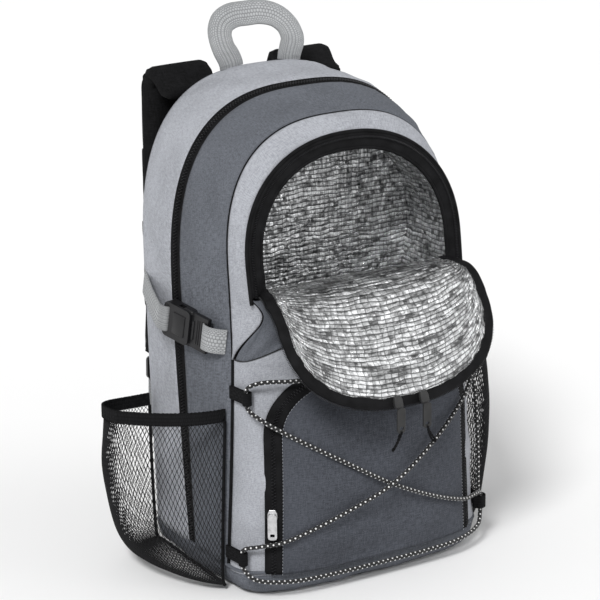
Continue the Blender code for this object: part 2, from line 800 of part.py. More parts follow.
def rim_outline():
    """The base's plan outline at its rim, anticlockwise from above."""
    z = RIM_HEIGHT
    right = [Vector((arch_half_width(FRONT, z), arch_depth(FRONT, z), 0.0)),
             Vector((arch_half_width(WIDEST, z), arch_depth(WIDEST, z), 0.0)),
             Vector((arch_half_width(BACK, z), arch_depth(BACK, z), 0.0))]
    left = [Vector((-p.x, p.y, 0.0)) for p in reversed(right)]
    front = [Vector((across * arch_half_width(FRONT, z),
                     arch_depth(FRONT, z) - front_bulge(z) * forward, 0.0))
             for across, forward in front_columns(14)]
    return left + front + right


# The base's wall from the floor up and down again inside, in shares of the
# rim's height and of the base's corner
BASE_CORNER = 15 * MM
#               height  inset
BASE_OUTSIDE = ((0.00, 1.00),
                (0.07, 0.62),
                (0.25, 0.27),
                (0.55, 0.08),
                (1.00, 0.00))


def base_panel():
    outline = rim_outline()
    rings = []
    for height, inset in BASE_OUTSIDE:
        ring = inset_outline(outline, inset * BASE_CORNER)
        rings.append([Vector((p.x, p.y, height * RIM_HEIGHT)) for p in ring])
    for height, inset in reversed(BASE_OUTSIDE[1:]):
        ring = inset_outline(outline, inset * BASE_CORNER + CLOTH_WALL)
        floor = height * RIM_HEIGHT + CLOTH_WALL * (1 - height)
        rings.append([Vector((p.x, p.y, floor)) for p in ring])
    loft("base_panel", rings, DARK_CLOTH)


def side_half_width(y, height):
    """Half the body's width at a depth and a height below the springs."""
    marks = [(arch_depth(arch, height), arch_half_width(arch, height))
             for arch in (FRONT, WIDEST, BACK)]
    for (y0, x0), (y1, x1) in zip(marks, marks[1:]):
        if y <= y1:
            return x0 + (x1 - x0) * max(y - y0, 0.0) / (y1 - y0)
    return marks[-1][1]


# The netting's bag, from its floor by the base up to its hem: heights at its
# seams and in its middle, and how far out it reaches
#                 seam   middle reach
MESH_SECTIONS = ((0.030, 0.060, 0.020),
                 (0.045, 0.026, 0.260),
                 (0.080, 0.060, 0.540),
                 (0.170, 0.160, 0.760),
                 (0.400, 0.400, 0.930),
                 (0.720, 0.720, 1.000),
                 (1.000, 1.000, 0.930))
MESH_COLUMNS = 14
MESH_POWER = 2.4


def mesh_line(side, section, offset, lift=0.0):
    """One level of a mesh pocket, from the back seam to the piping."""
    seam_share, middle_share, reach_share = section
    line = []
    start = arch_depth(BACK, RIM_HEIGHT) - CLOTH_WALL
    for i in range(MESH_COLUMNS + 1):
        angle = math.pi * i / MESH_COLUMNS
        share = (1 - math.cos(angle)) / 2
        swell = math.sin(angle) ** (2 / MESH_POWER)
        top = MESH_BACK_HEIGHT + (MESH_FRONT_HEIGHT - MESH_BACK_HEIGHT) * share
        z = top * (seam_share + (middle_share - seam_share) * swell) + lift
        end = arch_depth(FRONT, z) + PIPING_RADIUS
        y = start + (end - start) * share ** MESH_PEAK_SKEW
        x = side_half_width(y, z) + 2 * SEAM_GAP + MESH_REACH * reach_share * swell + offset
        line.append(Vector((side * x, y, z)))
    return line


def solid_sheet(name, rows, thickness, side, finish):
    """A thin wall that keeps the rows as its outer face."""
    bm = bmesh.new()
    grid = [[bm.verts.new(point) for point in row] for row in rows]
    for row, following in zip(grid, grid[1:]):
        for i in range(len(row) - 1):
            bm.faces.new((row[i], row[i + 1], following[i + 1], following[i]))
    bm.normal_update()
    if sum(face.normal.x for face in bm.faces) * side < 0:
        bmesh.ops.reverse_faces(bm, faces=bm.faces)
    mesh = bpy.data.meshes.new(name)
    bm.to_mesh(mesh)
    bm.free()
    mesh.materials.append(plain_material(f"{name}_{finish[0]}", *finish[1:]))
    mesh.shade_smooth()
    part = bpy.data.objects.new(name, mesh)
    PARTS.objects.link(part)
    wall = part.modifiers.new("wall", "SOLIDIFY")
    wall.thickness = thickness
    wall.offset = -1.0
    return part


def mesh_pocket(side_name, side):
    rows = [mesh_line(side, section, MESH_WALL) for section in MESH_SECTIONS]
    solid_sheet(f"mesh_pocket_{side_name}", rows, MESH_WALL, side, NETTING)
    hem = MESH_SECTIONS[-1]
    sheets = [[mesh_line(side, hem, offset, SEAM_GAP),
               mesh_line(side, hem, offset, SEAM_GAP + HEM_HEIGHT)]
              for offset in (HEM_THICKNESS, 0.0)]
    cloth_wall(f"pocket_hem_{side_name}", *sheets, BLACK_TAPE)


def strap_line(side):
    """Buckle centre, direction forwards and outward normal on one side."""
    rear = Vector((side * arch_half_width(WIDEST, BUCKLE_HEIGHT),
                   arch_depth(WIDEST, BUCKLE_HEIGHT), 0.0))
    front = Vector((side * arch_half_width(FRONT, BUCKLE_HEIGHT),
                    arch_depth(FRONT, BUCKLE_HEIGHT), 0.0))
    along = (front - rear).normalized()
    outward = Vector((-along.y, along.x, 0.0)) * side
    stand = BUCKLE_THICKNESS / 2 + BUCKLE_STAND
    centre = rear.lerp(front, BUCKLE_SHARE) + outward * stand
    centre.z = BUCKLE_HEIGHT
    tilt = Vector((0.0, 0.0, -0.18))
    return centre, (along + tilt).normalized(), outward


def buckle(side_name, side):
    """Side-release buckle: a hollow socket with the prong clipped into it."""
    centre, along, outward = strap_line(side)
    frame = frame_from(centre, along, outward)
    half = BUCKLE_LENGTH / 2
    socket_length = BUCKLE_LENGTH * SOCKET_SHARE
    slot_width = WEBBING_WIDTH + 2 * SEAM_GAP
    corner = BUCKLE_WIDTH / 8
    socket_slot = rounded_outline(BUCKLE_SLOT, slot_width, BUCKLE_SLOT / 3, -half + BUCKLE_BAR)
    socket = flat_part(f"buckle_socket_{side_name}",
                       [rounded_outline(socket_length, BUCKLE_WIDTH, corner, -half), socket_slot],
                       BUCKLE_THICKNESS, frame, BUCKLE_PLASTIC)
    socket = as_mesh(socket)
    arm_width = BUCKLE_WIDTH * 0.2
    arm_length = socket_length * 0.6
    mouth = -half + socket_length
    cavity_length = arm_length + 2 * SEAM_GAP
    cavity_width = BUCKLE_WIDTH * 0.8
    cavity_tall = PRONG_THICKNESS + 2 * SEAM_GAP
    cavity = box_cutter(f"cut_cavity_{side_name}", (cavity_length * 2, cavity_width, cavity_tall),
                        frame @ Matrix.Translation((mouth, 0.0, 0.0)))
    cut(socket, cavity)
    window = box_cutter(f"cut_window_{side_name}",
                        (arm_length * 0.6, BUCKLE_WIDTH * 2, cavity_tall),
                        frame @ Matrix.Translation((mouth - arm_length * 0.6, 0.0, 0.0)))
    cut(socket, window)
    base_start = mouth + SEAM_GAP
    inner = cavity_width / 2 - SEAM_GAP
    outline = [(half, -BUCKLE_WIDTH / 2), (half, BUCKLE_WIDTH / 2),
               (base_start, BUCKLE_WIDTH / 2), (base_start, inner),
               (mouth - arm_length, inner), (mouth - arm_length, inner - arm_width),
               (base_start, inner - arm_width), (base_start, arm_width / 2),
               (mouth - arm_length * 0.8, arm_width / 2), (mouth - arm_length * 0.8, -arm_width / 2),
               (base_start, -arm_width / 2), (base_start, arm_width - inner),
               (mouth - arm_length, arm_width - inner), (mouth - arm_length, -inner),
               (base_start, -inner), (base_start, -BUCKLE_WIDTH / 2)]
    prong_slot = rounded_outline(BUCKLE_SLOT, slot_width, BUCKLE_SLOT / 3,
                                 half - BUCKLE_BAR - BUCKLE_SLOT)
    flat_part(f"buckle_prong_{side_name}", [outline, prong_slot], PRONG_THICKNESS, frame,
              BUCKLE_PLASTIC)


def side_straps(side_name, side):
    """Webbing from the back seam and from the piping to the buckle."""
    centre, along, outward = strap_line(side)
    frame = frame_from(centre, along, outward)
    half = BUCKLE_LENGTH / 2
    slot = half - BUCKLE_BAR - BUCKLE_SLOT / 2
    tall = WEBBING_THICKNESS / 2
    across = [frame.to_3x3() @ Vector((0.0, 1.0, 0.0))]
    ends = ((-1, "strap_rear", BACK, -CLOTH_WALL, BUCKLE_THICKNESS),
            (1, "strap_front", FRONT, PIPING_RADIUS + WEBBING_THICKNESS, PRONG_THICKNESS))
    for end, name, arch, shift, thickness in ends:
        over = thickness / 2 + 3 * SEAM_GAP + tall
        local = [(end * slot, 0.0), (end * slot, thickness / 2),
                 (end * (slot + 2 * BUCKLE_SLOT / 3), over),
                 (end * half, over + SEAM_GAP), (end * (half + BUCKLE_SLOT), over)]
        path = [frame @ Vector((a, 0.0, b)) for a, b in local]
        depth = arch_depth(arch, BUCKLE_HEIGHT) + shift
        height = centre.z - (depth - centre.y) * along.z / -along.y
        side_x = side_half_width(depth, height) + 3 * SEAM_GAP + tall
        root = Vector((side * side_x, depth, height))
        path += [path[-1].lerp(root, 0.5) + outward * tall, root]
        loft(f"{name}_{side_name}",
             ribbon_rings(smooth_path(path, 2), across, WEBBING_WIDTH, WEBBING_THICKNESS),
             GREY_WEBBING)


def bungee_tab(name, side, height, strands):
    """Folded webbing loop on the piping that holds strands of the elastic cord."""
    root = Vector((side * (arch_half_width(FRONT, height) + TAB_STAND + TAB_THICKNESS / 2),
                   arch_depth(FRONT, height) - PIPING_RADIUS - 2 * SEAM_GAP, height))
    along = Vector((-side * TAB_LEAN, -1.0, 0.0))
    hole_radius = CORD_RADIUS * strands + CORD_CLEARANCE
    eye = hole_radius + TAB_THICKNESS / 2
    ring_centre = TAB_LENGTH - eye
    neck = TAB_THICKNESS / 2
    join = math.acos(neck / eye)
    outline = [(0.0, -neck)]
    for step in range(13):
        angle = -(math.pi / 2 + join) + (math.pi + 2 * join) * step / 12
        outline.append((ring_centre + eye * math.cos(angle), eye * math.sin(angle)))
    outline.append((0.0, neck))
    hole = [(ring_centre + hole_radius * math.cos(math.tau * i / 12),
             hole_radius * math.sin(math.tau * i / 12)) for i in range(12)]
    frame = frame_from(root, along, Vector((0.0, 0.0, 1.0)))
    flat_part(name, [outline, hole], TAB_WIDTH, frame, BLACK_TAPE)


# The elastic cord's route in millimetres: from the lower right tab up to the
# upper right one, across, down to the lower right, across and up to the right
BUNGEE_ROUTE = (
    (132.9, -80.4, 38), (132.9, -80.4, 50), (130, -84, 64), (128, -86, 100),
    (126, -84, 150), (124.5, -78.8, 187), (124.5, -78.8, 205), (114, -90, 211),
    (88, -101, 211), (44, -109, 209), (0, -111, 208), (-44, -109, 209), (-88, -101, 211),
    (-114, -90, 211), (-124.1, -82.9, 205), (-124.1, -82.9, 187), (-116, -92, 177),
    (-92, -107, 160), (-50, -122, 134), (2, -126, 102), (50, -121, 78), (96, -109, 60),
    (121, -95, 56), (132.5, -84.6, 50), (132.5, -84.6, 33), (124, -93, 22),
    (95, -105, 18), (55, -109, 17), (0, -110, 17), (-55, -109, 17), (-95, -105, 18),
    (-124, -93, 22), (-132.5, -84.4, 33), (-132.5, -84.4, 50), (-122, -95, 55),
    (-106, -105, 58), (-90, -111, 63), (-50, -123, 80), (2, -131, 103), (50, -125, 132),
    (92, -110, 160), (114, -95, 177), (124.1, -83.0, 187), (124.1, -83.0, 198))


def bungee_cord():
    points = [Vector(point) * MM for point in BUNGEE_ROUTE]
    straight = 5 * 2 * CORD_RADIUS
    cord_part("bungee_cord", smooth_path(points, 2, straight), CORD_RADIUS, ELASTIC)


# The loop's webbing turns upright by the share of the way to its crown
LOOP_TWIST = ((0.0, 0.0), (0.45, 0.0), (0.92, 0.96), (1.0, 1.0))


def haul_loop():
    top = BACK.top
    foot_depth = arch_depth(BACK, top) - LOOP_THICKNESS
    span = LOOP_HALF_SPAN
    rise = LOOP_RISE
    half = [(1.05, 0.00, -0.015), (1.07, 0.00, 0.08), (1.15, 0.02, 0.23), (1.25, 0.06, 0.38),
            (1.28, 0.14, 0.53), (1.21, 0.30, 0.73), (0.95, 0.47, 0.91), (0.50, 0.58, 1.00)]
    right = [Vector((x * span, foot_depth + y * rise, top + z * rise)) for x, y, z in half]
    left = [Vector((-p.x, p.y, p.z)) for p in reversed(right)]
    crown = Vector((0.0, foot_depth + 0.62 * rise, top + rise))
    path = smooth_path(right + [crown] + left, 2)
    sideways = []
    count = len(path) - 1
    for i in range(count + 1):
        share = 1 - abs(2 * i / count - 1)
        turn = math.radians(90) * table_value(LOOP_TWIST, share)
        if i * 2 > count:
            turn = math.pi - turn
        lean = math.radians(LOOP_LEAN)
        sideways.append(Vector((math.cos(turn), math.sin(turn) * math.cos(lean),
                                math.sin(turn) * math.sin(lean))))
    rings = ribbon_rings(path, sideways, WEBBING_WIDTH, LOOP_THICKNESS)
    loft("haul_loop", rings, GREY_WEBBING)


def panel_face(height):
    """Depth of the back panel's padded rear face."""
    return arch_depth(BACK, height) + BACK_PANEL_THICKNESS / 2


# A shoulder strap's route, as shares of its width, stand and root height
#               across  off     height
STRAP_ROUTE = ((0.00, 0.0196, 1.000),
               (0.00, 0.1087, 1.000),
               (0.00, 0.2174, 1.000),
               (0.01, 0.4239, 1.016),
               (0.02, 0.6196, 1.038),
               (0.03, 0.8370, 1.036),
               (0.04, 0.9783, 1.000),
               (0.07, 1.0000, 0.940),
               (0.14, 0.9565, 0.830),
               (0.27, 0.8696, 0.700),
               (0.42, 0.7391, 0.550),
               (0.50, 0.5870, 0.400))


def strap_path(side):
    path = []
    for across, off, share in STRAP_ROUTE:
        height = STRAP_ROOT_HEIGHT * share
        path.append(Vector((side * (STRAP_CENTRE + across * STRAP_WIDTH),
                            panel_face(STRAP_ROOT_HEIGHT) + off * STRAP_STAND, height)))
    return path


def shoulder_strap(side_name, side):
    path = smooth_path(strap_path(side), 2)
    widths = []
    for i in range(len(path)):
        share = i / (len(path) - 1)
        narrowing = table_value(((0.0, 0.95), (0.2, 1.0), (0.7, 1.0), (1.0, 0.55)), share)
        widths.append(STRAP_WIDTH * narrowing)
    rings = ribbon_rings(path, [Vector((1.0, 0.0, 0.0))], widths, STRAP_THICKNESS, 0.3)
    loft(f"shoulder_strap_{side_name}", rings, BLACK_CLOTH)


def lower_strap(side_name, side):
    """Ladder lock at the strap's end and its webbing down to the panel."""
    route = strap_path(side)
    end = route[-1]
    along = (route[-1] - route[-2]).normalized()
    outward = Vector((0.0, 1.0, 0.0))
    frame = frame_from(end + along * 2 * SEAM_GAP, along, outward)
    bar = LOCK_LENGTH * 0.17
    slot = (LOCK_LENGTH - 3 * bar) / 2
    slot_width = WEBBING_WIDTH + 6 * SEAM_GAP
    corner = slot / 3
    slots = [rounded_outline(slot, slot_width, corner, bar),
             rounded_outline(slot, slot_width, corner, 2 * bar + slot)]
    flat_part(f"ladder_lock_{side_name}",
              [rounded_outline(LOCK_LENGTH, LOCK_WIDTH, bar), *slots],
              LOCK_THICKNESS, frame, BUCKLE_PLASTIC)
    tall = WEBBING_THICKNESS / 2
    over = LOCK_THICKNESS / 2 + SEAM_GAP + tall
    through = LOCK_LENGTH - bar - slot / 2
    turn = slot / 2 - tall - SEAM_GAP
    local = [(LOCK_LENGTH + WEBBING_TAIL, over),
             (LOCK_LENGTH + WEBBING_TAIL / 2, over + tall),
             (LOCK_LENGTH, over), (through + turn, over), (through, 0.0),
             (through + turn, -over), (LOCK_LENGTH, -over),
             (LOCK_LENGTH + slot, -over - tall), (LOCK_LENGTH + 3 * slot, -over - slot)]
    path = [frame @ Vector((a, 0.0, b)) for a, b in local]
    root_height = 2 * RIM_HEIGHT
    root_x = side * (arch_half_width(BACK, root_height) - WEBBING_WIDTH)
    for rise, stand in ((RIM_HEIGHT, 3.0), (RIM_HEIGHT / 2, 1.0), (0.0, 1.0)):
        height = root_height + rise
        face = panel_face(height) + (3 * SEAM_GAP + tall) * stand
        path.append(Vector((root_x, face, height)))
    across = [frame.to_3x3() @ Vector((0.0, 1.0, 0.0))]
    loft(f"lower_webbing_{side_name}",
         ribbon_rings(smooth_path(path, 2), across, WEBBING_WIDTH, WEBBING_THICKNESS),
         GREY_WEBBING)


def slider_outline(length, width):
    """A zip slider seen from above: a rounded wedge."""
    return [(0.0, -width * 0.32), (length * 0.35, -width / 2), (length * 0.8, -width / 2),
            (length, -width * 0.25), (length, width * 0.25), (length * 0.8, width / 2),
            (length * 0.35, width / 2), (0.0, width * 0.32)]


def slider_with_puller(prefix, top, down, outward, hang, length):
    """A slider lying on a tape, and the bar that hangs from its far face.

    hang is the share of the slider's length at which the bar's axis lies.
    """
    frame = frame_from(top + outward * (SLIDER_THICKNESS / 2), down, outward)
    flat_part(f"{prefix}_slider", [slider_outline(SLIDER_LENGTH, SLIDER_WIDTH)],
              SLIDER_THICKNESS, frame, ZINC)
    stand = (SLIDER_THICKNESS + PULLER_THICKNESS) / 2 + PULLER_CLEARANCE
    axis = frame @ Vector((SLIDER_LENGTH * hang, 0.0, stand))
    level = Vector((outward.x, outward.y, 0.0))
    hanging = frame_from(axis, Vector((0.0, 0.0, -1.0)), level)
    start = -PULLER_THICKNESS / 2
    hole = rounded_outline(PULLER_HOLE, PULLER_WIDTH / 2, PULLER_HOLE / 3,
                           start + length - 2 * PULLER_HOLE)
    flat_part(f"{prefix}_puller",
              [rounded_outline(length, PULLER_WIDTH, PULLER_WIDTH * 0.3, start, 2), hole],
              PULLER_THICKNESS, hanging, ZINC)
    return axis


def zip_hardware():
    """Sliders and their hanging pullers, on the pocket and the open flap."""
    height = POCKET_SLIDER_HEIGHT
    share = POCKET_SLIDER_SHARE
    centre = -(arch_half_width(POCKET, height) - POCKET_ZIP_WIDTH * share)
    step = 2 * MM
    rise = POCKET_ZIP_RISE / POCKET_ZIP_WIDTH
    slope = (front_depth(centre + step, height) - front_depth(centre - step, height)) / (2 * step)
    outward = Vector((slope - rise, -1.0, 0.0)).normalized()
    lift = SEAM_GAP + POCKET_ZIP_RISE * share + POCKET_ZIP_THICKNESS
    top = Vector((centre, front_depth(centre, height) - lift, height)) + outward * 3 * SEAM_GAP
    slider_with_puller("pocket", top, Vector((0.0, 0.0, -1.0)), outward, 0.4, PULLER_LENGTH)
    start = FLAP_LENGTH - BINDING_WIDTH
    for name, x in (("cooler_left", -COOLER_SLIDER_SPREAD), ("cooler_right", COOLER_SLIDER_SPREAD)):
        face = BINDING_THICKNESS / 2 + 2 * SEAM_GAP
        top = flap_point(x, start, face)
        down = flap_point(x, FLAP_LENGTH, face) - top
        outward = flap_point(x, start, face + 1 * MM) - top
        slider_with_puller(name, top, down, outward.normalized(), 1.0, COOLER_PULLER_LENGTH)


def build():
    base_panel()
    back_panel()
    side_bands()
    front_piping()
    cooler_gusset()
    lower_front_panel()
    upper_front_panel()
    cooler_liner()
    cooler_zip_frame()
    flap_panel()
    flap_binding()
    pocket_zip()
    front_pocket()
    haul_loop()
    bungee_cord()
    zip_hardware()
    for side_name, side in (("left", -1), ("right", 1)):
        mesh_pocket(side_name, side)
        buckle(side_name, side)
        side_straps(side_name, side)
        strands = 2 if side > 0 else 1
        bungee_tab(f"upper_tab_{side_name}", side, UPPER_TAB_HEIGHT, strands)
        bungee_tab(f"lower_tab_{side_name}", side, LOWER_TAB_HEIGHT, strands)
        shoulder_strap(side_name, side)
        lower_strap(side_name, side)


build()
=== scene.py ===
"""Looks of a day backpack with a foil cooler, mesh pockets and a laced cord.

Every cloth, tape, net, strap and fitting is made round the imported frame, in
metres, with +Z up and the cooler facing -Y.
"""

import math
from collections import namedtuple

import bmesh
import bpy
from mathutils import Matrix, Vector, noise


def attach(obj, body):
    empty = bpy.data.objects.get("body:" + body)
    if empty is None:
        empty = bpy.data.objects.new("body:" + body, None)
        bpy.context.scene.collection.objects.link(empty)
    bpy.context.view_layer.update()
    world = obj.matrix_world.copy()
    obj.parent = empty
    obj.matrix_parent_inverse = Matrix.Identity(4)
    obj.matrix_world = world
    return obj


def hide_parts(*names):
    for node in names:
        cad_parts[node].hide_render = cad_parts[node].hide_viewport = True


bl_info = {
    "name": "Cooler Backpack",
    "version": (1, 0, 0),
    "blender": (4, 5, 0),
    "location": "3D View > Sidebar > Backpack",
    "description": "Dresses the backpack's frame with cloth, zips, foil, netting and straps",
    "category": "Object",
}

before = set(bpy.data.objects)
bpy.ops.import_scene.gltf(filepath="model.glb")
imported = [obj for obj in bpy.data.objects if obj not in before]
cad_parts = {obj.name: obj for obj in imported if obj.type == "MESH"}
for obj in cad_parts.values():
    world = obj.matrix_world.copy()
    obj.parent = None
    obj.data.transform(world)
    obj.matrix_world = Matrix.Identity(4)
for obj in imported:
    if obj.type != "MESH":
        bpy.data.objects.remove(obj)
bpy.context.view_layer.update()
MM = 0.001
BAG = "bag"

# Sizes that the cloth shares with the frame
BODY_FOOT = 25.3 * MM
RIM_HEIGHT = 25 * MM
KNEE_HEIGHT = 230 * MM
HINGE_HEIGHT = 285 * MM
WEDGE_TIP_HEIGHT = 226 * MM
WEDGE_RISE = 24 * MM
FRONT_BULGE = 48 * MM
FRONT_POWER = 3.0
FRONT_CORNER = 3.1 / 33.6
WALL = 2.0 * MM
PIPING = 2.5 * MM
FRAME_WIDTH = 14 * MM
BINDING_WIDTH = 11 * MM
FLAP_LENGTH = 148 * MM
FLAP_SIDE = 66 * MM
FLAP_POWER = 2.3
POCKET_ZIP_WIDTH = 14 * MM
POCKET_TOP = 220 * MM
WEBBING = 25 * MM
MESH_REACH = 70 * MM
BUCKLE_HEIGHT = 248 * MM
BUCKLE_LENGTH = 54 * MM
CORD_RADIUS = 2.0 * MM
LOBE_BELLY = 11 * MM
FLAP_HINGE_HALF = 103 * MM
FLAP_FLARE = 9 * MM
POCKET_STAND = 5.8 * MM
POCKET_BULGE = 13 * MM
MAIN_ZIP_WIDTH = 12 * MM
LINER_HALF = 106 * MM
LINER_FLOOR = 242 * MM
LINER_FRONT = -54.6 * MM
HEM_HEIGHT = 144 * MM
HEM_RISE = 22 * MM
NET_WIDTH = 235 * MM
NET_HEIGHT = 150 * MM
TAB_LENGTH = 30 * MM
TAB_WIDTH = 13 * MM
TAB_WALL = 1.6 * MM
TAB_LEVELS = (("upper", 196 * MM), ("lower", 42 * MM))
COOLER_PULLER_HOLE = (14 * MM, -168.8 * MM, 169.6 * MM)
STITCH = (2.3 * MM, 0.5 * MM, 0.45 * MM)
STITCH_PITCH = 3.2 * MM
BODY_CENTRE = Vector((0.0, 0.02, 0.2))
SIDES = (("left", -1), ("right", 1))

Arch = namedtuple("Arch", "half foot_half spring top power depth slope foot_slope")
BACK = Arch(0.1329, 0.1311, 0.2872, 0.4580, 2.7, 0.0901, 0.035, 0.035)
WIDEST = Arch(0.1420, 0.1351, 0.2771, 0.4539, 2.7, 0.0200, 0.035, 0.035)
FRONT = Arch(0.1207, 0.1329, 0.3009, 0.4351, 2.6, -0.0540, 0.096, 0.010)
COOLER = Arch(0.1136, 0.0965, 0.3142, 0.4200, 2.2, -0.0830, 0.148, 0.148)
POCKET = Arch(0.1110, 0.1140, 0.1500, 0.2200, 2.6, 0.0, 0.0, 0.0)
LEGS = 16
CURVE = 80

# Shares of the front's bulge and of the pocket's puff, by height
FRONT_FULLNESS = ((0.0, 1.0), (0.5, 1.0), (1.0, 0.70))
POCKET_PUFF = ((0.0, 0.15), (0.18, 0.75), (0.42, 1.0), (0.68, 0.9), (0.86, 0.5), (1.0, 0.1))

# The base's round from the floor up: inset in mm, share of the rim's height
BASE_ROUND = ((15, 0.0), (11, 0.07), (6.5, 0.20), (3.2, 0.40), (1.0, 0.68), (0.0, 1.0),
              (-0.4, 1.12))

# The hem's section: lift and distance outwards in mm
HEM_SECTION = ((0.3, 2.4), (12.3, 2.2), (12.6, 1.1), (12.3, 0.1), (0.3, 0.0), (0.0, 1.1),
               (0.3, 2.4))


# The frame's curves

def rounded(value, power):
    """A power of a value that keeps its sign."""
    return math.copysign(abs(value) ** power, value)


def power_curve(angle, power):
    return -rounded(math.cos(angle), 2 / power), abs(math.sin(angle)) ** (2 / power)


def arch_half(arch, height, inset=0.0):
    drop = max(arch.spring - height, 0.0) / (arch.spring - RIM_HEIGHT)
    return arch.half - inset + (arch.foot_half - arch.half) * drop ** 1.5


def arch_depth(arch, height):
    rise = height - KNEE_HEIGHT
    return arch.depth + rise * (arch.slope if rise > 0 else arch.foot_slope)


def legs_and_arch(legs, half, spring, top, power):
    """A left leg's points, the arch over them and the right leg, as (x, z)."""
    curve = []
    for i in range(CURVE + 1):
        across, up = power_curve(math.pi * i / CURVE, power)
        curve.append((half * across, spring + (top - spring) * up))
    return legs + curve + [(-x, z) for x, z in reversed(legs)]


def arch_line(arch, inset=0.0, shift=0.0, foot=BODY_FOOT):
    """Points from the left foot over the top to the right foot."""
    heights = [foot + (arch.spring - foot) * i / LEGS for i in range(LEGS)]
    legs = [(-arch_half(arch, z, inset), z) for z in heights]
    points = legs_and_arch(legs, arch.half - inset, arch.spring, arch.top - inset, arch.power)
    return [Vector((x, arch_depth(arch, z) + shift, z)) for x, z in points]


def along(line, t):
    """A point at a share of a line's steps."""
    place = min(max(t, 0.0), 1.0) * (len(line) - 1)
    i = min(int(place), len(line) - 2)
    return line[i].lerp(line[i + 1], place - i)


def even(line, count, closed=False):
    """The same line with evenly spaced points."""
    points = line + line[:1] if closed else line
    marks = [0.0]
    for a, b in zip(points, points[1:]):
        marks.append(marks[-1] + (b - a).length)
    made = []
    i = 0
    for k in range(count + 1):
        want = marks[-1] * k / count
        while i < len(marks) - 2 and marks[i + 1] < want:
            i += 1
        span = max(marks[i + 1] - marks[i], 1e-9)
        made.append(points[i].lerp(points[i + 1], (want - marks[i]) / span))
    return made[:-1] if closed else made


def line_length(line):
    return sum((b - a).length for a, b in zip(line, line[1:]))


def midway(first, second, share):
    """The line at a share of the way from one line to another."""
    return [a.lerp(b, share) for a, b in zip(first, second)]


def spread(first, second):
    """The surface between two lines, as a function of u and v."""
    return lambda u, v: along(first, u).lerp(along(second, u), v)


def mirrored(points):
    """The points on the other side of the middle, in reverse order."""
    return [Vector((-p.x, p.y, p.z)) for p in reversed(points)]


def heading(path, i):
    """Direction of a path at one of its points."""
    return (path[min(i + 1, len(path) - 1)] - path[max(i - 1, 0)]).normalized()


def square_to(forward, wanted):
    """The wanted direction, turned square to the forward one."""
    return (wanted - forward * wanted.dot(forward)).normalized()


def eased(a, b, c, d, t):
    """A smooth value between b and c, with a before them and d after them."""
    return 0.5 * (b * 2 + (c - a) * t + (a * 2 - b * 5 + c * 4 - d) * t * t
                  + (b * 3 - a - c * 3 + d) * t ** 3)


def smooth_path(points, steps):
    """A smooth curve through the points, with slopes that suit their spans."""
    slopes = []
    for i, point in enumerate(points):
        before = points[max(i - 1, 0)]
        after = points[min(i + 1, len(points) - 1)]
        slopes.append((after - before) / ((point - before).length + (after - point).length))
    path = []
    for i, (start, end) in enumerate(zip(points, points[1:])):
        span = (end - start).length
        for step in range(steps):
            t = step / steps
            path.append(start * (2 * t ** 3 - 3 * t ** 2 + 1) + end * (3 * t ** 2 - 2 * t ** 3)
                        + slopes[i] * span * (t ** 3 - 2 * t ** 2 + t)
                        + slopes[i + 1] * span * (t ** 3 - t ** 2))
    path.append(points[-1])
    return path


def table_value(table, share):
    """Read a table of (share, value) rows, smooth between its rows."""
    for (low, value), (high, following) in zip(table, table[1:]):
        if share <= high:
            t = max(share - low, 0.0) / (high - low)
            return value + (following - value) * t * t * (3 - 2 * t)
    return table[-1][1]


def front_bulge(height):
    return FRONT_BULGE * table_value(FRONT_FULLNESS, height / HINGE_HEIGHT)


def front_depth(x, height):
    """Depth of the front cloth at a place."""
    share = abs(x) / arch_half(FRONT, height)
    forward = max(1 - share ** FRONT_POWER, 0.0) ** (1 / FRONT_POWER)
    return arch_depth(FRONT, height) - front_bulge(height) * forward


def front_column(t):
    """Share across the front and share forward, crowded at the corners."""
    start = math.asin(FRONT_CORNER ** (FRONT_POWER / 2))
    angle = start + (math.pi - 2 * start) * t
    return power_curve(angle, FRONT_POWER)


def front_point(t, height):
    """A point of the front cloth at a share of its width."""
    across, forward = front_column(t)
    return Vector((across * arch_half(FRONT, height),
                   arch_depth(FRONT, height) - front_bulge(height) * forward, height))


def wedge_height(x):
    """Height of the seam under the dark wedge."""
    share = min(abs(x) / arch_half(FRONT, WEDGE_TIP_HEIGHT), 1.0)
    return WEDGE_TIP_HEIGHT + WEDGE_RISE * (1 - share ** 2.2)


def lobe_edge(height):
    """Front edge of the cooler gusset's tapered end, on the left."""
    share = (height - WEDGE_TIP_HEIGHT) / (HINGE_HEIGHT - WEDGE_TIP_HEIGHT)
    tip = Vector((-arch_half(FRONT, WEDGE_TIP_HEIGHT),
                  arch_depth(FRONT, WEDGE_TIP_HEIGHT) - PIPING, WEDGE_TIP_HEIGHT))
    top = Vector((-arch_half(COOLER, HINGE_HEIGHT), arch_depth(COOLER, HINGE_HEIGHT),
                  HINGE_HEIGHT))
    belly = math.sin(math.pi * min(share, 1.0) ** 1.8) * LOBE_BELLY
    return tip.lerp(top, share) + Vector((belly, -belly, 0.0))


FLAP_FALL = [Vector((0.0, -f * FLAP_LENGTH, -d * FLAP_LENGTH)) for f, d in (
    (0.00, 0.00), (0.15, 0.003), (0.275, 0.06), (0.37, 0.18),
    (0.455, 0.315), (0.53, 0.455), (0.585, 0.58), (0.62, 0.675))]
FLAP_MARKS = (0.00, 0.15, 0.29, 0.44, 0.60, 0.76, 0.90, 1.00)
HINGE_LIFT = 3.3 * MM
HINGE_OUT = 1.2 * MM
HINGE = Vector((0.0, FRONT.depth - HINGE_OUT + FRONT.slope * (HINGE_HEIGHT - COOLER.top),
                HINGE_HEIGHT + HINGE_LIFT))


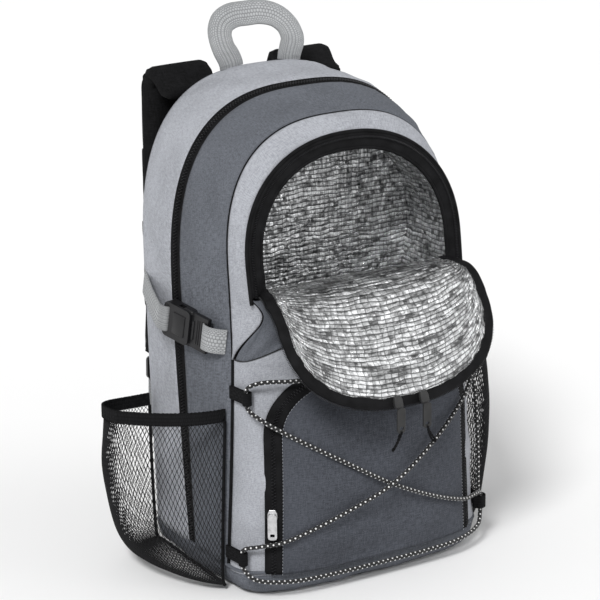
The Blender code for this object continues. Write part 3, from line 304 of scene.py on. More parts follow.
def flap_side_view(distance):
    """Where the flap's middle line lies at a distance from its hinge."""
    share = distance / FLAP_LENGTH
    rows = FLAP_FALL
    i = 0
    while i < len(rows) - 2 and share > FLAP_MARKS[i + 1]:
        i += 1
    t = (share - FLAP_MARKS[i]) / (FLAP_MARKS[i + 1] - FLAP_MARKS[i])
    before = rows[i - 1] if i else rows[0] * 2 - rows[1]
    after = rows[i + 2] if i + 2 < len(rows) else rows[-1] * 2 - rows[-2]
    return eased(before, rows[i], rows[i + 1], after, t)


def flap_point(share, down, inset, lift):
    """A point of the flap at a share of its width and of its length there."""
    tip = FLAP_LENGTH - inset - FLAP_SIDE
    reach = FLAP_SIDE + tip * max(1 - abs(share) ** FLAP_POWER, 0.0) ** (1 / FLAP_POWER)
    distance = down * reach
    half = FLAP_HINGE_HALF + FLAP_FLARE * min(distance / (FLAP_SIDE * 0.5), 1.0) - inset
    slope = flap_side_view(distance + MM) - flap_side_view(distance - MM)
    normal = Vector((0.0, slope.z, -slope.y)).normalized()
    return HINGE + Vector((share * half, 0.0, 0.0)) + flap_side_view(distance) + normal * lift


def flap_edge(inset, lift):
    """The flap's outline from hinge to hinge, moved in and lifted."""
    sides, tips = 14, 60
    marks = [(-1.0, i / sides) for i in range(sides)]
    marks += [(math.sin(math.pi * (i / tips - 0.5)), 1.0) for i in range(tips + 1)]
    marks += [(1.0, i / sides) for i in range(sides - 1, -1, -1)]
    return [flap_point(share, down, inset, lift) for share, down in marks]


def pocket_depth(share, x, height):
    """Depth of the front pocket's face at a place."""
    up = (height - RIM_HEIGHT) / (POCKET_TOP - RIM_HEIGHT)
    puff = table_value(POCKET_PUFF, up) * max(1 - share ** 2, 0.0) ** 0.6
    return front_depth(x, height) - POCKET_STAND - POCKET_BULGE * puff


def side_half(y, height):
    """Half the body's width at a depth and a height."""
    marks = [(arch_depth(a, height), arch_half(a, height)) for a in (FRONT, WIDEST, BACK)]
    for (y0, x0), (y1, x1) in zip(marks, marks[1:]):
        if y <= y1:
            return x0 + (x1 - x0) * max(y - y0, 0.0) / (y1 - y0)
    return marks[-1][1]


# A side pocket from its foot up: height at the seam and in the middle, reach
MESH_ROWS = ((0.030, 0.060, 0.020), (0.045, 0.026, 0.260), (0.080, 0.060, 0.540),
             (0.170, 0.160, 0.760), (0.400, 0.400, 0.930), (0.720, 0.720, 1.000),
             (1.000, 1.000, 0.930))


def mesh_point(side, t, v, lift=0.0, offset=0.0):
    """A point of a side pocket: t from the back seam forward, v up to the hem."""
    place = v * (len(MESH_ROWS) - 1)
    i = min(int(place), len(MESH_ROWS) - 2)
    rows = [MESH_ROWS[max(i - 1, 0)], MESH_ROWS[i], MESH_ROWS[i + 1],
            MESH_ROWS[min(i + 2, len(MESH_ROWS) - 1)]]
    seam, middle, reach = (eased(*values, place - i) for values in zip(*rows))
    swell = max(math.sin(math.pi * t), 0.0) ** (2 / 2.4)
    share = (1 - math.cos(math.pi * t)) / 2
    z = (HEM_HEIGHT + HEM_RISE * share) * (seam + (middle - seam) * swell) + lift
    start = arch_depth(BACK, RIM_HEIGHT) - WALL
    end = arch_depth(FRONT, z) + PIPING
    y = start + (end - start) * share ** 1.6
    x = side_half(y, z) + 0.6 * MM + MESH_REACH * reach * swell + offset
    return Vector((side * x, y, z))


# Shader maths

class Signal:
    """A shader socket that takes part in Python expressions."""

    def __init__(self, tree, socket):
        self.tree = tree
        self.socket = socket

    def math(self, operation, *others, swapped=False):
        node = self.tree.nodes.new("ShaderNodeMath")
        node.operation = operation
        terms = (*others, self) if swapped else (self, *others)
        for slot, term in zip(node.inputs, terms):
            if isinstance(term, Signal):
                self.tree.links.new(term.socket, slot)
            else:
                slot.default_value = term
        return Signal(self.tree, node.outputs[0])

    def __add__(self, other):
        return self.math("ADD", other)

    def __sub__(self, other):
        return self.math("SUBTRACT", other)

    def __rsub__(self, other):
        return self.math("SUBTRACT", other, swapped=True)

    def __mul__(self, other):
        return self.math("MULTIPLY", other)

    def __gt__(self, other):
        return self.math("GREATER_THAN", other)

    __radd__ = __add__
    __rmul__ = __mul__

    def wave(self):
        return (self * math.pi).math("SINE")

    def size(self):
        return self.math("ABSOLUTE")

    def rest(self):
        return self.math("FRACT")


class Finish:
    """A Principled material that is built from expressions."""

    def __init__(self, name, constants):
        self.material = bpy.data.materials.new(name)
        self.material.use_nodes = True
        self.tree = self.material.node_tree
        self.shader = self.tree.nodes["Principled BSDF"]
        for socket, value in constants.items():
            self.shader.inputs[socket].default_value = value

    def add(self, kind, settings, values, output=0):
        node = self.tree.nodes.new(kind)
        for name, value in settings.items():
            setattr(node, name, value)
        for socket, value in values.items():
            if isinstance(value, Signal):
                self.tree.links.new(value.socket, node.inputs[socket])
            else:
                node.inputs[socket].default_value = value
        return Signal(self.tree, node.outputs[output])

    def split(self, vector):
        return [self.add("ShaderNodeSeparateXYZ", {}, {0: vector}, i) for i in range(3)]

    def join(self, x, y, z=0.0):
        return self.add("ShaderNodeCombineXYZ", {}, {0: x, 1: y, 2: z})

    def uv(self):
        return self.split(self.add("ShaderNodeUVMap", {"uv_map": "UVMap"}, {}))[:2]

    def place(self):
        return self.add("ShaderNodeTexCoord", {}, {}, 3)

    def noise(self, vector, scale, detail=2.0, roughness=0.5):
        return self.add("ShaderNodeTexNoise", {},
                        {"Vector": vector, "Scale": scale, "Detail": detail,
                         "Roughness": roughness})

    def ramp(self, value, low, high):
        """The value spread from low to high over 0 to 1, and kept there."""
        return self.add("ShaderNodeMapRange", {"clamp": True},
                        {"Value": value, "From Min": low, "From Max": high})

    def blend(self, factor, first, second):
        return self.add("ShaderNodeMix", {"data_type": "RGBA"},
                        {0: factor, 6: first if isinstance(first, Signal) else (*first, 1.0),
                         7: second if isinstance(second, Signal) else (*second, 1.0)}, 2)

    def tint(self, factor, color, low, high):
        """The colour, made darker or lighter by a factor over the surface."""
        self.to("Base Color", self.blend(factor, shade(color, low), shade(color, high)))

    def to(self, socket, signal):
        self.tree.links.new(signal.socket, self.shader.inputs[socket])

    def bump(self, height, distance, strength=1.0, coarse=None, depth=0.0):
        """A fine relief, over a coarse one where it is given."""
        values = {"Height": height, "Distance": distance, "Strength": strength}
        if coarse:
            values["Normal"] = self.add("ShaderNodeBump", {}, {"Height": coarse, "Distance": depth})
        self.to("Normal", self.add("ShaderNodeBump", {}, values))


def shade(color, factor):
    return tuple(min(c * factor, 1.0) for c in color[:3])


def woven_cloth(name, color, pitch=0.9 * MM, fleck=0.35, rough=0.86, shine=0.2):
    """Plain weave of heathered yarn on the piece's own UV map."""
    f = Finish(name, {"Roughness": rough, "Specular IOR Level": shine})
    u, v = f.uv()
    across = u * (1 / pitch)
    down = v * (1 / pitch)
    over = (across.wave() * down.wave()) > 0.0
    weave = across.wave().size() * over + down.wave().size() * (1 - over)
    warp = f.noise(f.join(across * 0.16, down * 0.9), 1.0)
    weft = f.noise(f.join(across * 0.9, down * 0.16, 7.0), 1.0)
    yarn = warp * over + weft * (1 - over)
    cloudy = f.noise(f.place(), 16.0, 3.0)
    tone = yarn * 0.85 + cloudy * 0.15
    f.tint(f.ramp(tone, 0.38, 0.62), color, 1 - fleck, 1 + fleck)
    crumple = f.noise(f.place(), 15.0, 1.5, 0.4)
    f.bump(weave * 0.7 + yarn * 0.5, 0.16 * MM, 0.8, crumple, 20 * MM)
    return f.material


def ribbed_webbing(name, color, pitch=2.0 * MM, shine=0.2):
    """Coarse webbing: oval picks, every second row moved by half a pick, with painted shade in the
    gaps between them.
    """
    f = Finish(name, {"Roughness": 0.8, "Specular IOR Level": shine})
    u, v = f.uv()
    row = v * (1 / (0.8 * pitch))
    stagger = row.math("FLOOR") * 0.5
    picks = (u * (1 / pitch) + stagger).wave().size() * row.wave().size()
    wear = f.noise(f.place(), 220.0, 3.0)
    # Painted shade: the gaps between the picks are coloured darker, as if shaded.
    painted_gap_shade = f.ramp(picks.math("POWER", 0.6) + wear * 0.2, 0.3, 0.9)
    worn = f.blend(wear, shade(color, 0.85), shade(color, 1.15))
    f.to("Base Color", f.blend(painted_gap_shade, shade(color, 0.5), worn))
    f.bump(picks + wear * 0.1, 0.45 * MM, 0.9)
    return f.material


def zip_tape(name, color):
    f = Finish(name, {"Roughness": 0.72, "Specular IOR Level": 0.1})
    u, v = f.uv()
    ribs = (u * (1 / (0.8 * MM))).wave().size()
    lines = (v * (1 / (1.6 * MM))).wave().size()
    lint = f.noise(f.place(), 90.0, 3.0)
    f.tint(f.ramp(lint, 0.3, 0.7), color, 0.7, 1.5)
    f.bump(ribs * 0.5 + lines * 0.5, 0.15 * MM, 0.8)
    return f.material


def crinkled_foil(name, color):
    """Metallised film on foam: an embossed grid crossed by creases, with painted reflections,
    glints and shade in its colour.
    """
    f = Finish(name, {"Metallic": 0.92, "Specular IOR Level": 0.6})
    u, v = f.uv()
    place = f.join(u, v)
    wobble = f.noise(place, 55.0, 2.0) - 0.5
    down = v * (1 / (4.2 * MM)) + wobble * 1.3
    across = u * (1 / (4.6 * MM)) + wobble * 1.5
    rows = down.wave().size()
    columns = across.wave().size()
    cells = f.add("ShaderNodeTexVoronoi", {"feature": "F1"},
                  {"Vector": place, "Scale": 330.0, "Randomness": 0.9})
    creases = (f.noise(f.join(u * 0.5, v * 1.6), 95.0, 4.0, 0.65) - 0.5).size()
    height = rows.math("POWER", 0.6) * 0.6 + columns.math("POWER", 0.6) * 0.4
    row = down.math("FLOOR")
    column = (across + row * 0.5).math("FLOOR")
    # A painted glint: each cell of the grid gets its own random brightness, standing in for a
    # reflection.
    painted_glint = f.add("ShaderNodeTexWhiteNoise", {}, {"Vector": f.join(column, row)})
    # Broad patches of painted light, standing in for reflections off the creases.
    painted_light_patches = f.noise(f.join(u * 0.6, v * 2.0), 60.0, 3.0, 0.6)
    # Painted shade in the embossed grooves between the cells.
    seams = f.ramp(rows + painted_light_patches * 0.4, 0.3, 0.7) * f.ramp(columns + painted_light_patches * 0.5, 0.2, 0.55)
    # Painted light and shade: each cell is lighter towards one edge and darker towards the other,
    # as if lit.
    painted_cell_light = f.ramp(down.rest() + painted_light_patches * 0.5, 0.3, 0.75) * 0.4 + 0.6
    crinkle = f.noise(place, 160.0, 3.0, 0.7)
    # Painted reflections: shine adds painted glints, painted light patches, crinkle and cells, and
    # the tone is darkened by painted shade in the seams and on one half of each cell.
    shine = painted_glint * 0.45 + painted_light_patches * 1.1 + crinkle * 0.8 + cells * 0.25
    tone = f.ramp(shine, 0.98, 1.5) * seams * painted_cell_light
    f.tint(tone, color, 0.13, 1.0)
    f.to("Roughness", f.ramp(creases, 0.3, 0.0) * 0.16 + 0.16)
    f.bump(height + cells * 0.6 + f.ramp(creases, 0.0, 0.14) * 0.6, 0.8 * MM, 1.0)
    return f.material


def knitted_net(name, color):
    f = Finish(name, {"Roughness": 0.7, "Specular IOR Level": 0.3})
    lint = f.noise(f.place(), 700.0, 2.0)
    f.tint(lint, color, 0.6, 1.8)
    f.bump(lint, 0.1 * MM)
    return f.material


def moulded_plastic(name, color):
    f = Finish(name, {"Specular IOR Level": 0.3})
    grain = f.noise(f.place(), 1500.0, 2.0)
    wear = f.noise(f.place(), 120.0, 3.0)
    f.tint(f.ramp(wear, 0.35, 0.75), color, 1.0, 1.5)
    f.to("Roughness", wear * 0.2 + 0.24)
    f.bump(grain, 0.04 * MM, 0.6)
    return f.material


def plated_zinc(name, color):
    f = Finish(name, {"Metallic": 1.0})
    wear = f.noise(f.place(), 260.0, 4.0)
    f.tint(f.ramp(wear, 0.4, 0.7), color, 1.0, 0.7)
    f.to("Roughness", wear * 0.25 + 0.18)
    f.bump(wear, 0.05 * MM, 0.5)
    return f.material


def braided_elastic(name, color):
    """Braided cover with light tracer yarns that wind round the cord."""
    f = Finish(name, {"Roughness": 0.75, "Sheen Weight": 0.1})
    u, v = f.uv()
    winding = u * (1 / (5.2 * MM))
    left = (winding + v * 2.0).rest() > 0.63
    right = (winding - v * 2.0 + 0.5).rest() > 0.63
    pick = u * (1 / (1.5 * MM))
    picks = (pick + v * 4.0).wave() * (pick - v * 4.0).wave()
    mask = left * right
    f.to("Base Color", f.blend(mask, color, bpy.context.scene.backpack_colours.tracer))
    f.bump(picks.size() + mask * 0.3, 0.25 * MM, 0.9)
    return f.material


def sewing_thread(name, color):
    f = Finish(name, {"Roughness": 0.6})
    twist = f.noise(f.place(), 1800.0, 1.0)
    f.tint(twist, color, 0.8, 1.2)
    f.bump(twist, 0.05 * MM)
    return f.material


# Key: slot, maker, material, colour in the panel, factor on that colour, settings
FINISH_TABLE = {
    "light": ("light_cloth", woven_cloth, "light_cloth", "light_cloth", 1.0, {"fleck": 0.24}),
    "dark": ("dark_cloth", woven_cloth, "dark_cloth", "dark_cloth", 1.0, {"fleck": 0.32}),
    "pocket": ("pocket_cloth", woven_cloth, "pocket_cloth", "pocket_cloth", 1.0, {"fleck": 0.32}),
    "black": ("black_cloth", woven_cloth, "black_cloth", "black", 1.0,
              {"pitch": 1.2 * MM, "fleck": 0.5, "rough": 0.8, "shine": 0.1}),
    "spacer": ("black_cloth", woven_cloth, "spacer_mesh", "black", 2.6,
               {"pitch": 2.6 * MM, "fleck": 0.6, "rough": 0.85, "shine": 0.25}),
    "tape": ("black_tape", zip_tape, "zip_tape", "black", 1.0, {}),
    "webbing": ("grey_webbing", ribbed_webbing, "grey_webbing", "webbing", 1.0, {}),
    "black_webbing": ("black_tape", ribbed_webbing, "black_webbing", "black", 1.6,
                      {"pitch": 1.6 * MM, "shine": 0.1}),
    "foil": ("foil", crinkled_foil, "cooler_foil", "foil", 1.0, {}),
    "net": ("netting", knitted_net, "pocket_net", "black", 1.3, {}),
    "plastic": ("buckle_plastic", moulded_plastic, "buckle_plastic", "plastic", 1.0, {}),
    "zinc": ("zinc", plated_zinc, "plated_zinc", "zinc", 1.0, {}),
    "coil": ("black_tape", moulded_plastic, "zip_coil", "black", 2.6, {}),
    "gunmetal": ("zinc", moulded_plastic, "puller_plastic", "zinc", 0.03, {}),
    "elastic": ("elastic", braided_elastic, "braided_elastic", "black", 1.0, {}),
    "thread": ("black_tape", sewing_thread, "black_thread", "black", 1.8, {}),
    "grey_thread": ("light_cloth", sewing_thread, "grey_thread", "light_cloth", 1.05, {}),
}
MADE_FINISHES = {}


def finish_of(key):
    """Each finish is made once, from the colours in the panel."""
    if key not in MADE_FINISHES:
        _, maker, name, source, factor, settings = FINISH_TABLE[key]
        color = shade(getattr(bpy.context.scene.backpack_colours, source), factor)
        MADE_FINISHES[key] = maker(name, color, **settings)
    return MADE_FINISHES[key]


# Making and fitting pieces

def sizes():
    return bpy.context.scene.backpack_sizes


def link(name, data):
    """A new object of the scene."""
    made = bpy.data.objects.new(name, data)
    bpy.context.scene.collection.objects.link(made)
    return made


def settle(name, bm, finish, replaced=(), body=BAG, wall=0.0):
    """Turn a bmesh into a named piece that rides on a body."""
    mesh = bpy.data.meshes.new(name)
    bm.to_mesh(mesh)
    bm.free()
    mesh.materials.append(finish_of(finish))
    mesh.shade_smooth()
    mesh.set_sharp_from_angle(angle=math.radians(50))
    piece = link(name, mesh)
    if wall:
        skin = piece.modifiers.new("wall", "SOLIDIFY")
        skin.thickness = wall
        skin.offset = -1.0
    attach(piece, body)
    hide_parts(*replaced)
    return piece


def uv_layer(bm):
    return bm.loops.layers.uv.get("UVMap") or bm.loops.layers.uv.new("UVMap")


def renew_normals(items):
    for item in items:
        item.normal_update()


def lay_grid(bm, point, across, down, size=(1.0, 1.0), relief=None, away=None, weld=False):
    """A grid laid over a surface given as point(u, v), with its UVs in metres."""
    layer = uv_layer(bm)
    verts = bmesh.ops.create_grid(bm, x_segments=across, y_segments=down, size=0.5)["verts"]
    shares = {v: (v.co.x + 0.5, v.co.y + 0.5) for v in verts}
    faces = list({face for v in verts for face in v.link_faces})
    for face in faces:
        for loop in face.loops:
            u, v = shares[loop.vert]
            loop[layer].uv = (u * size[0], v * size[1])
    for vert, (u, v) in shares.items():
        vert.co = point(u, v)
    if away is not None:
        renew_normals(faces)
        if sum(face.normal.dot(face.calc_center_median() - away) for face in faces) < 0:
            bmesh.ops.reverse_faces(bm, faces=faces)
    if relief:
        renew_normals(faces)
        renew_normals(verts)
        moves = [(vert, vert.normal * relief(*shares[vert], vert.co)) for vert in verts]
        for vert, move in moves:
            vert.co += move
    if weld:
        bmesh.ops.remove_doubles(bm, verts=verts, dist=0.02 * MM)


def cloth_piece(name, point, across, down, size, finish, replaced, relief=None,
                away=Vector((0.0, 0.0, 0.2)), wall=1.4 * MM):
    """A cloth panel over a surface, facing away from a point inside."""
    bm = bmesh.new()
    lay_grid(bm, point, across, down, size, relief, away)
    return settle(name, bm, finish, replaced, wall=wall)


def folds(scale, height, seed):
    """Soft random folds that fade out at a panel's two sewn sides."""
    def relief(u, v, co):
        value = noise.fractal(co * scale + Vector((seed, seed, seed)), 0.7, 2.2, 3)
        return value * height * min(v * (1 - v) * 8, 1.0)
    return relief


def puckers(pitch, height):
    """Small gathers along both sewn sides of a panel."""
    def relief(u, v, co):
        near = max(1 - min(v, 1 - v) * 9, 0.0)
        beat = noise.noise(Vector((u * pitch, v * 3.0, 1.7)))
        return beat * height * near * min(v * (1 - v) * 60, 1.0)
    return relief


def crown(height):
    """Fullness between two sewn sides."""
    return lambda u, v, co: height * (4 * max(v * (1 - v), 0.0)) ** 0.6


def sewn_relief(fullness, scale, fold, seed, pucker=0.0, pitch=170.0):
    """Fullness with folds and puckers, whose heights are given in wrinkles."""
    wrinkle = sizes().wrinkle_height
    reliefs = (crown(fullness), folds(scale, fold * wrinkle, seed),
               puckers(pitch, pucker * wrinkle))
    return lambda u, v, co: sum(relief(u, v, co) for relief in reliefs)


def frames_along(path, sideways):
    """Point, direction, side and upward normal at each point of a path."""
    made = []
    for i, point in enumerate(path):
        forward = heading(path, i)
        side = square_to(forward, sideways[min(i, len(sideways) - 1)])
        made.append((point, forward, side, side.cross(forward)))
    return made


def ribbon(bm, path, sideways, width, thickness, cells=6):
    """Flat webbing: a tube of flat section laid along a path."""
    places = frames_along(path, sideways)
    length = line_length(path)

    def point(u, v):
        place = u * (len(places) - 1)
        i = min(int(place), len(places) - 2)
        spot, side, up = (places[i][k].lerp(places[i + 1][k], place - i) for k in (0, 2, 3))
        angle = math.tau * v
        return (spot + side * (rounded(math.cos(angle), 0.7) * width / 2)
                + up * (rounded(math.sin(angle), 0.12) * thickness / 2))
    count = max(int(length / (2.5 * MM)), 4)
    lay_grid(bm, point, count, 4 * cells, (length, 2 * width), weld=True)
    close_ends(bm)


def close_ends(bm):
    edges = [e for e in bm.edges if e.is_boundary]
    bmesh.ops.holes_fill(bm, edges=edges, sides=0)
    bmesh.ops.recalc_face_normals(bm, faces=bm.faces)


def tube(bm, path, radius, around=10):
    """A round cord along a path, its UVs running along it and round it."""
    places = frames_along(path, carried_sides(path))
    marks = len(path) - 1

    def point(u, v):
        spot, _, side, up = places[min(int(round(u * marks)), marks)]
        angle = math.tau * v
        return spot + side * (math.cos(angle) * radius) + up * (math.sin(angle) * radius)
    made = bmesh.new()
    lay_grid(made, point, marks, around, (line_length(path), 1.0), weld=True)
    close_ends(made)
    mesh = bpy.data.meshes.new("tube")
    made.to_mesh(mesh)
    made.free()
    bm.from_mesh(mesh)
    bpy.data.meshes.remove(mesh)


def carried_sides(path):
    """A side direction at each point that doesn't spin about the path."""
    side = (path[1] - path[0]).normalized().orthogonal().normalized()
    sides = []
    for i in range(len(path)):
        side = square_to(heading(path, i), side)
        sides.append(side)
    return sides


def strewn(bm, path, normals, pitch, size, tilt=0.0, shift=0.0, sink=0.0, stagger=False):
    """Small rounded blocks along a path: zip teeth or stitches."""
    line = even(path, max(int(line_length(path) / pitch), 2))
    facing = even(normals, len(line) - 1)
    shape = Matrix.Rotation(tilt, 4, "Z") @ Matrix.Diagonal((*size, 1.0))
    for i, spot in enumerate(line):
        forward = heading(line, i)
        up = square_to(forward, facing[i])
        side = up.cross(forward)
        spin = Matrix((forward, side, up)).transposed().to_4x4()
        offset = side * (shift * (-1 if stagger and i % 2 else 1)) - up * sink
        bmesh.ops.create_icosphere(bm, subdivisions=1, radius=0.5,
                                   matrix=Matrix.Translation(spot + offset) @ spin @ shape)


def cord_piece(name, line, radius, around, finish="tape", replaced=()):
    """A round cord or a seam as one piece."""
    bm = bmesh.new()
    tube(bm, line, radius, around)
    settle(name, bm, finish, replaced)


def row_piece(name, line, normals, pitch, size, finish, sink=0.0):
    """A row of teeth or stitches as one piece."""
    bm = bmesh.new()
    strewn(bm, line, normals, pitch, size, sink=sink)
    settle(name, bm, finish)


def band_piece(name, path, sideways, width, thickness, finish, replaced, cells=6):
    """A length of webbing as one piece."""
    bm = bmesh.new()
    ribbon(bm, path, sideways, width, thickness, cells)
    settle(name, bm, finish, replaced)


def line_normals(outer, inner):
    """Outward normals of the strip between two lines."""
    return [heading(outer, i).cross(inner[i] - outer[i]).normalized()
            for i in range(len(outer))]


def copied(node):
    """A merged copy of a CAD node's loose triangles."""
    bm = bmesh.new()
    bm.from_mesh(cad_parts[node].data)
    bmesh.ops.remove_doubles(bm, verts=bm.verts, dist=0.02 * MM)
    bmesh.ops.dissolve_limit(bm, angle_limit=math.radians(1), verts=bm.verts, edges=bm.edges)
    return bm


def moulded(node, name, finish, edge, body=BAG):
    """A hard fitting: the CAD solid with rounded edges."""
    piece = settle(name, copied(node), finish, (node,), body)
    rounding = piece.modifiers.new("rounding", "BEVEL")
    rounding.width = edge
    rounding.segments = 3
    rounding.limit_method = "ANGLE"
    rounding.angle_limit = math.radians(35)
    rounding.use_clamp_overlap = True
    smooth = piece.modifiers.new("normals", "WEIGHTED_NORMAL")
    smooth.keep_sharp = False
    return piece


def puffed(node, name, finish, cap):
    """A padded piece: the CAD solid remeshed, blown up as cloth and applied.

    No point moves further than the cap.
    """
    steps = 20
    piece = settle(name, copied(node), finish, (node,))
    skin = piece.modifiers.new("skin", "REMESH")
    skin.mode = "VOXEL"
    skin.voxel_size = 5 * MM
    bake(piece)
    start = [v.co.copy() for v in piece.data.vertices]
    cloth = piece.modifiers.new("cloth", "CLOTH")
    cloth.settings.quality = 5
    cloth.settings.mass = 0.3
    cloth.settings.use_pressure = True
    cloth.settings.uniform_pressure_force = 4.0
    cloth.settings.effector_weights.gravity = 0.0
    cloth.point_cache.frame_start = 1
    cloth.point_cache.frame_end = steps
    for step in range(1, steps + 1):
        bpy.context.scene.frame_set(step)
    bake(piece)
    bpy.context.scene.frame_set(1)
    for vert, before in zip(piece.data.vertices, start):
        move = vert.co - before
        if move.length > cap:
            vert.co = before + move * (cap / move.length)
    piece.data.shade_smooth()
    return piece


def bake(piece):
    """Apply all modifiers of a piece to its mesh."""
    depsgraph = bpy.context.evaluated_depsgraph_get()
    mesh = bpy.data.meshes.new_from_object(piece.evaluated_get(depsgraph))
    piece.modifiers.clear()
    piece.data = mesh


def unwrap_by_sides(piece):
    """UVs in metres on a padded piece, from across and along it."""
    mesh = piece.data
    layer = mesh.uv_layers.new(name="UVMap")
    for polygon in mesh.polygons:
        flat = abs(polygon.normal.x) < 0.7
        for index in polygon.loop_indices:
            co = mesh.vertices[mesh.loops[index].vertex_index].co
            layer.data[index].uv = (co.x if flat else co.y, co.z)


# The pieces

def make_bands():
    """The two gussets and the main zip between them."""
    back, widest, front = (arch_line(arch) for arch in (BACK, WIDEST, FRONT))
    zip_front = midway(widest, front, MAIN_ZIP_WIDTH / (WIDEST.depth - FRONT.depth))
    length = line_length(widest)
    cloth_piece("rear_gusset_cloth", spread(back, widest), 220, 22, (length, 0.072), "light",
                ("rear_gusset",), sewn_relief(2.0 * MM, 22.0, 1.4, 3.0, 0.5))
    cloth_piece("main_gusset_cloth", spread(zip_front, front), 240, 24, (length, 0.064), "dark",
                ("main_gusset",), sewn_relief(3.0 * MM, 20.0, 1.8, 8.0, 0.6))
    cloth_piece("main_zip_tape", spread(widest, zip_front), 240, 6, (length, MAIN_ZIP_WIDTH),
                "tape", ("main_zip",), crown(-0.8 * MM))
    closed_zip("main_zip_teeth", midway(widest, zip_front, 0.5), line_normals(widest, zip_front))
    seams = bmesh.new()
    for first, second, t in ((back, widest, 0.96), (zip_front, front, 0.05),
                             (zip_front, front, 0.95)):
        strewn(seams, midway(first, second, t), line_normals(first, second), STITCH_PITCH,
               STITCH, sink=-0.5 * MM)
    settle("body_stitches", seams, "thread")


def closed_zip(name, line, normals, width=4.6 * MM):
    """A closed coil zip: two staggered rows of teeth."""
    pitch = sizes().zip_pitch
    middle = len(line) // 2
    if normals[middle].dot(line[middle] - BODY_CENTRE) <= 0:
        normals = [-n for n in normals]
    bm = bmesh.new()
    strewn(bm, line, normals, pitch, (pitch * 0.62, width * 0.62, 1.5 * MM), tilt=0.1,
           shift=width * 0.2, sink=-0.3 * MM, stagger=True)
    settle(name, bm, "coil")


def open_zip(name, line, normals, width, height):
    """One row of an open zip's teeth."""
    pitch = sizes().zip_pitch
    row_piece(name, line, normals, pitch, (pitch * 0.55, width, height), "coil")


def make_piping():
    """The black piping round the front."""
    line = even(arch_line(FRONT, PIPING * 0.6), 360)
    cord_piece("front_piping_cord", line, PIPING * 0.85, 10, replaced=("front_piping",))


def make_cooler_gusset():
    """The light gusset round the cooler, with its two lobes beside the flap."""
    steps = 16
    heights = [WEDGE_TIP_HEIGHT + (HINGE_HEIGHT - WEDGE_TIP_HEIGHT) * i / steps
               for i in range(steps)]
    lean = -PIPING * 0.6
    back_left = [Vector((-arch_half(FRONT, z), arch_depth(FRONT, z) + lean, z)) for z in heights]
    front_left = [lobe_edge(z) for z in heights]
    rows = [left + arch_line(arch, 0.0, shift, HINGE_HEIGHT) + mirrored(left)
            for left, arch, shift in ((back_left, FRONT, lean), (front_left, COOLER, 0.0))]
    cloth_piece("cooler_gusset_cloth", spread(*rows), 220, 14, (line_length(rows[0]), 0.032),
                "light", ("cooler_gusset",), sewn_relief(2.2 * MM, 26.0, 1.2, 14.0, 0.5, 150.0))
    edge = bmesh.new()
    rim = even(arch_line(COOLER, -0.8 * MM, -1.0 * MM, HINGE_HEIGHT - 4 * MM), 260)
    tube(edge, rim, 1.9 * MM, 8)
    for flip in (1, -1):
        lobe = [Vector((p.x * flip, p.y - 0.4 * MM, p.z))
                for p in front_left + [lobe_edge(HINGE_HEIGHT)]]
        tube(edge, even(lobe, 24), 0.8 * MM, 6)
    settle("cooler_edge_binding", edge, "tape")


def make_front_panels():
    """The light cloth below the flap and the dark wedge between its lobes."""
    wrinkle = sizes().wrinkle_height
    foot = BODY_FOOT - 2 * MM

    def lower(u, v):
        top = wedge_height(front_point(u, WEDGE_TIP_HEIGHT).x)
        return front_point(u, foot + (top - foot) * v)

    def upper(u, v):
        across, forward = front_column(u)
        low = WEDGE_TIP_HEIGHT
        for _ in range(4):
            low = wedge_height(across * -lobe_edge(low).x)
        z = low + (HINGE_HEIGHT - low) * v
        edge = lobe_edge(z)
        centre = arch_depth(FRONT, z) - front_bulge(z)
        return Vector((across * -edge.x, edge.y + (centre - edge.y) * forward, z))

    def drape(u, v, co):
        side = min(u, 1 - u)
        fold = noise.noise(Vector((co.x * 14, 3.0, co.z * 30))) * 2.0 * wrinkle
        across = arch_half(FRONT, WEDGE_TIP_HEIGHT) - abs(co.x)
        below = co.z - WEDGE_TIP_HEIGHT
        reach = math.hypot(across, below)
        rays = math.sin(math.atan2(below, across) * 9 + 1.0) * math.exp(-reach / (50 * MM))
        drawn = rays * 1.5 * wrinkle * min(reach / (8 * MM), 1.0)
        return (fold + drawn) * min(side * 14, 1.0) * min(v * (1 - v) * 10, 1.0)
    cloth_piece("lower_front_cloth", lower, 110, 70, (0.36, 0.22), "light", ("lower_front_panel",),
                drape)
    cloth_piece("wedge_cloth", upper, 100, 22, (0.33, 0.055), "dark", ("upper_front_panel",), drape)
    line = [lower(i / 100, 1.0) + Vector((0.0, -0.4 * MM, 0.0)) for i in range(101)]
    cord_piece("wedge_seam", line, 0.7 * MM, 6, "thread")
    line = [lower(i / 120, 0.06) for i in range(121)]
    outwards = [Vector((p.x * 0.3, p.y, 0.0)).normalized() for p in line]
    row_piece("front_foot_stitches", line, outwards, STITCH_PITCH, STITCH, "grey_thread", -0.2 * MM)


def base_outline():
    """The body's outline at the rim of its base."""
    z = RIM_HEIGHT
    right = [Vector((arch_half(a, z), arch_depth(a, z), z)) for a in (FRONT, WIDEST, BACK)]
    front = [front_point(i / 60, z) for i in range(61)]
    return even(mirrored(right) + front + right, 240, closed=True)


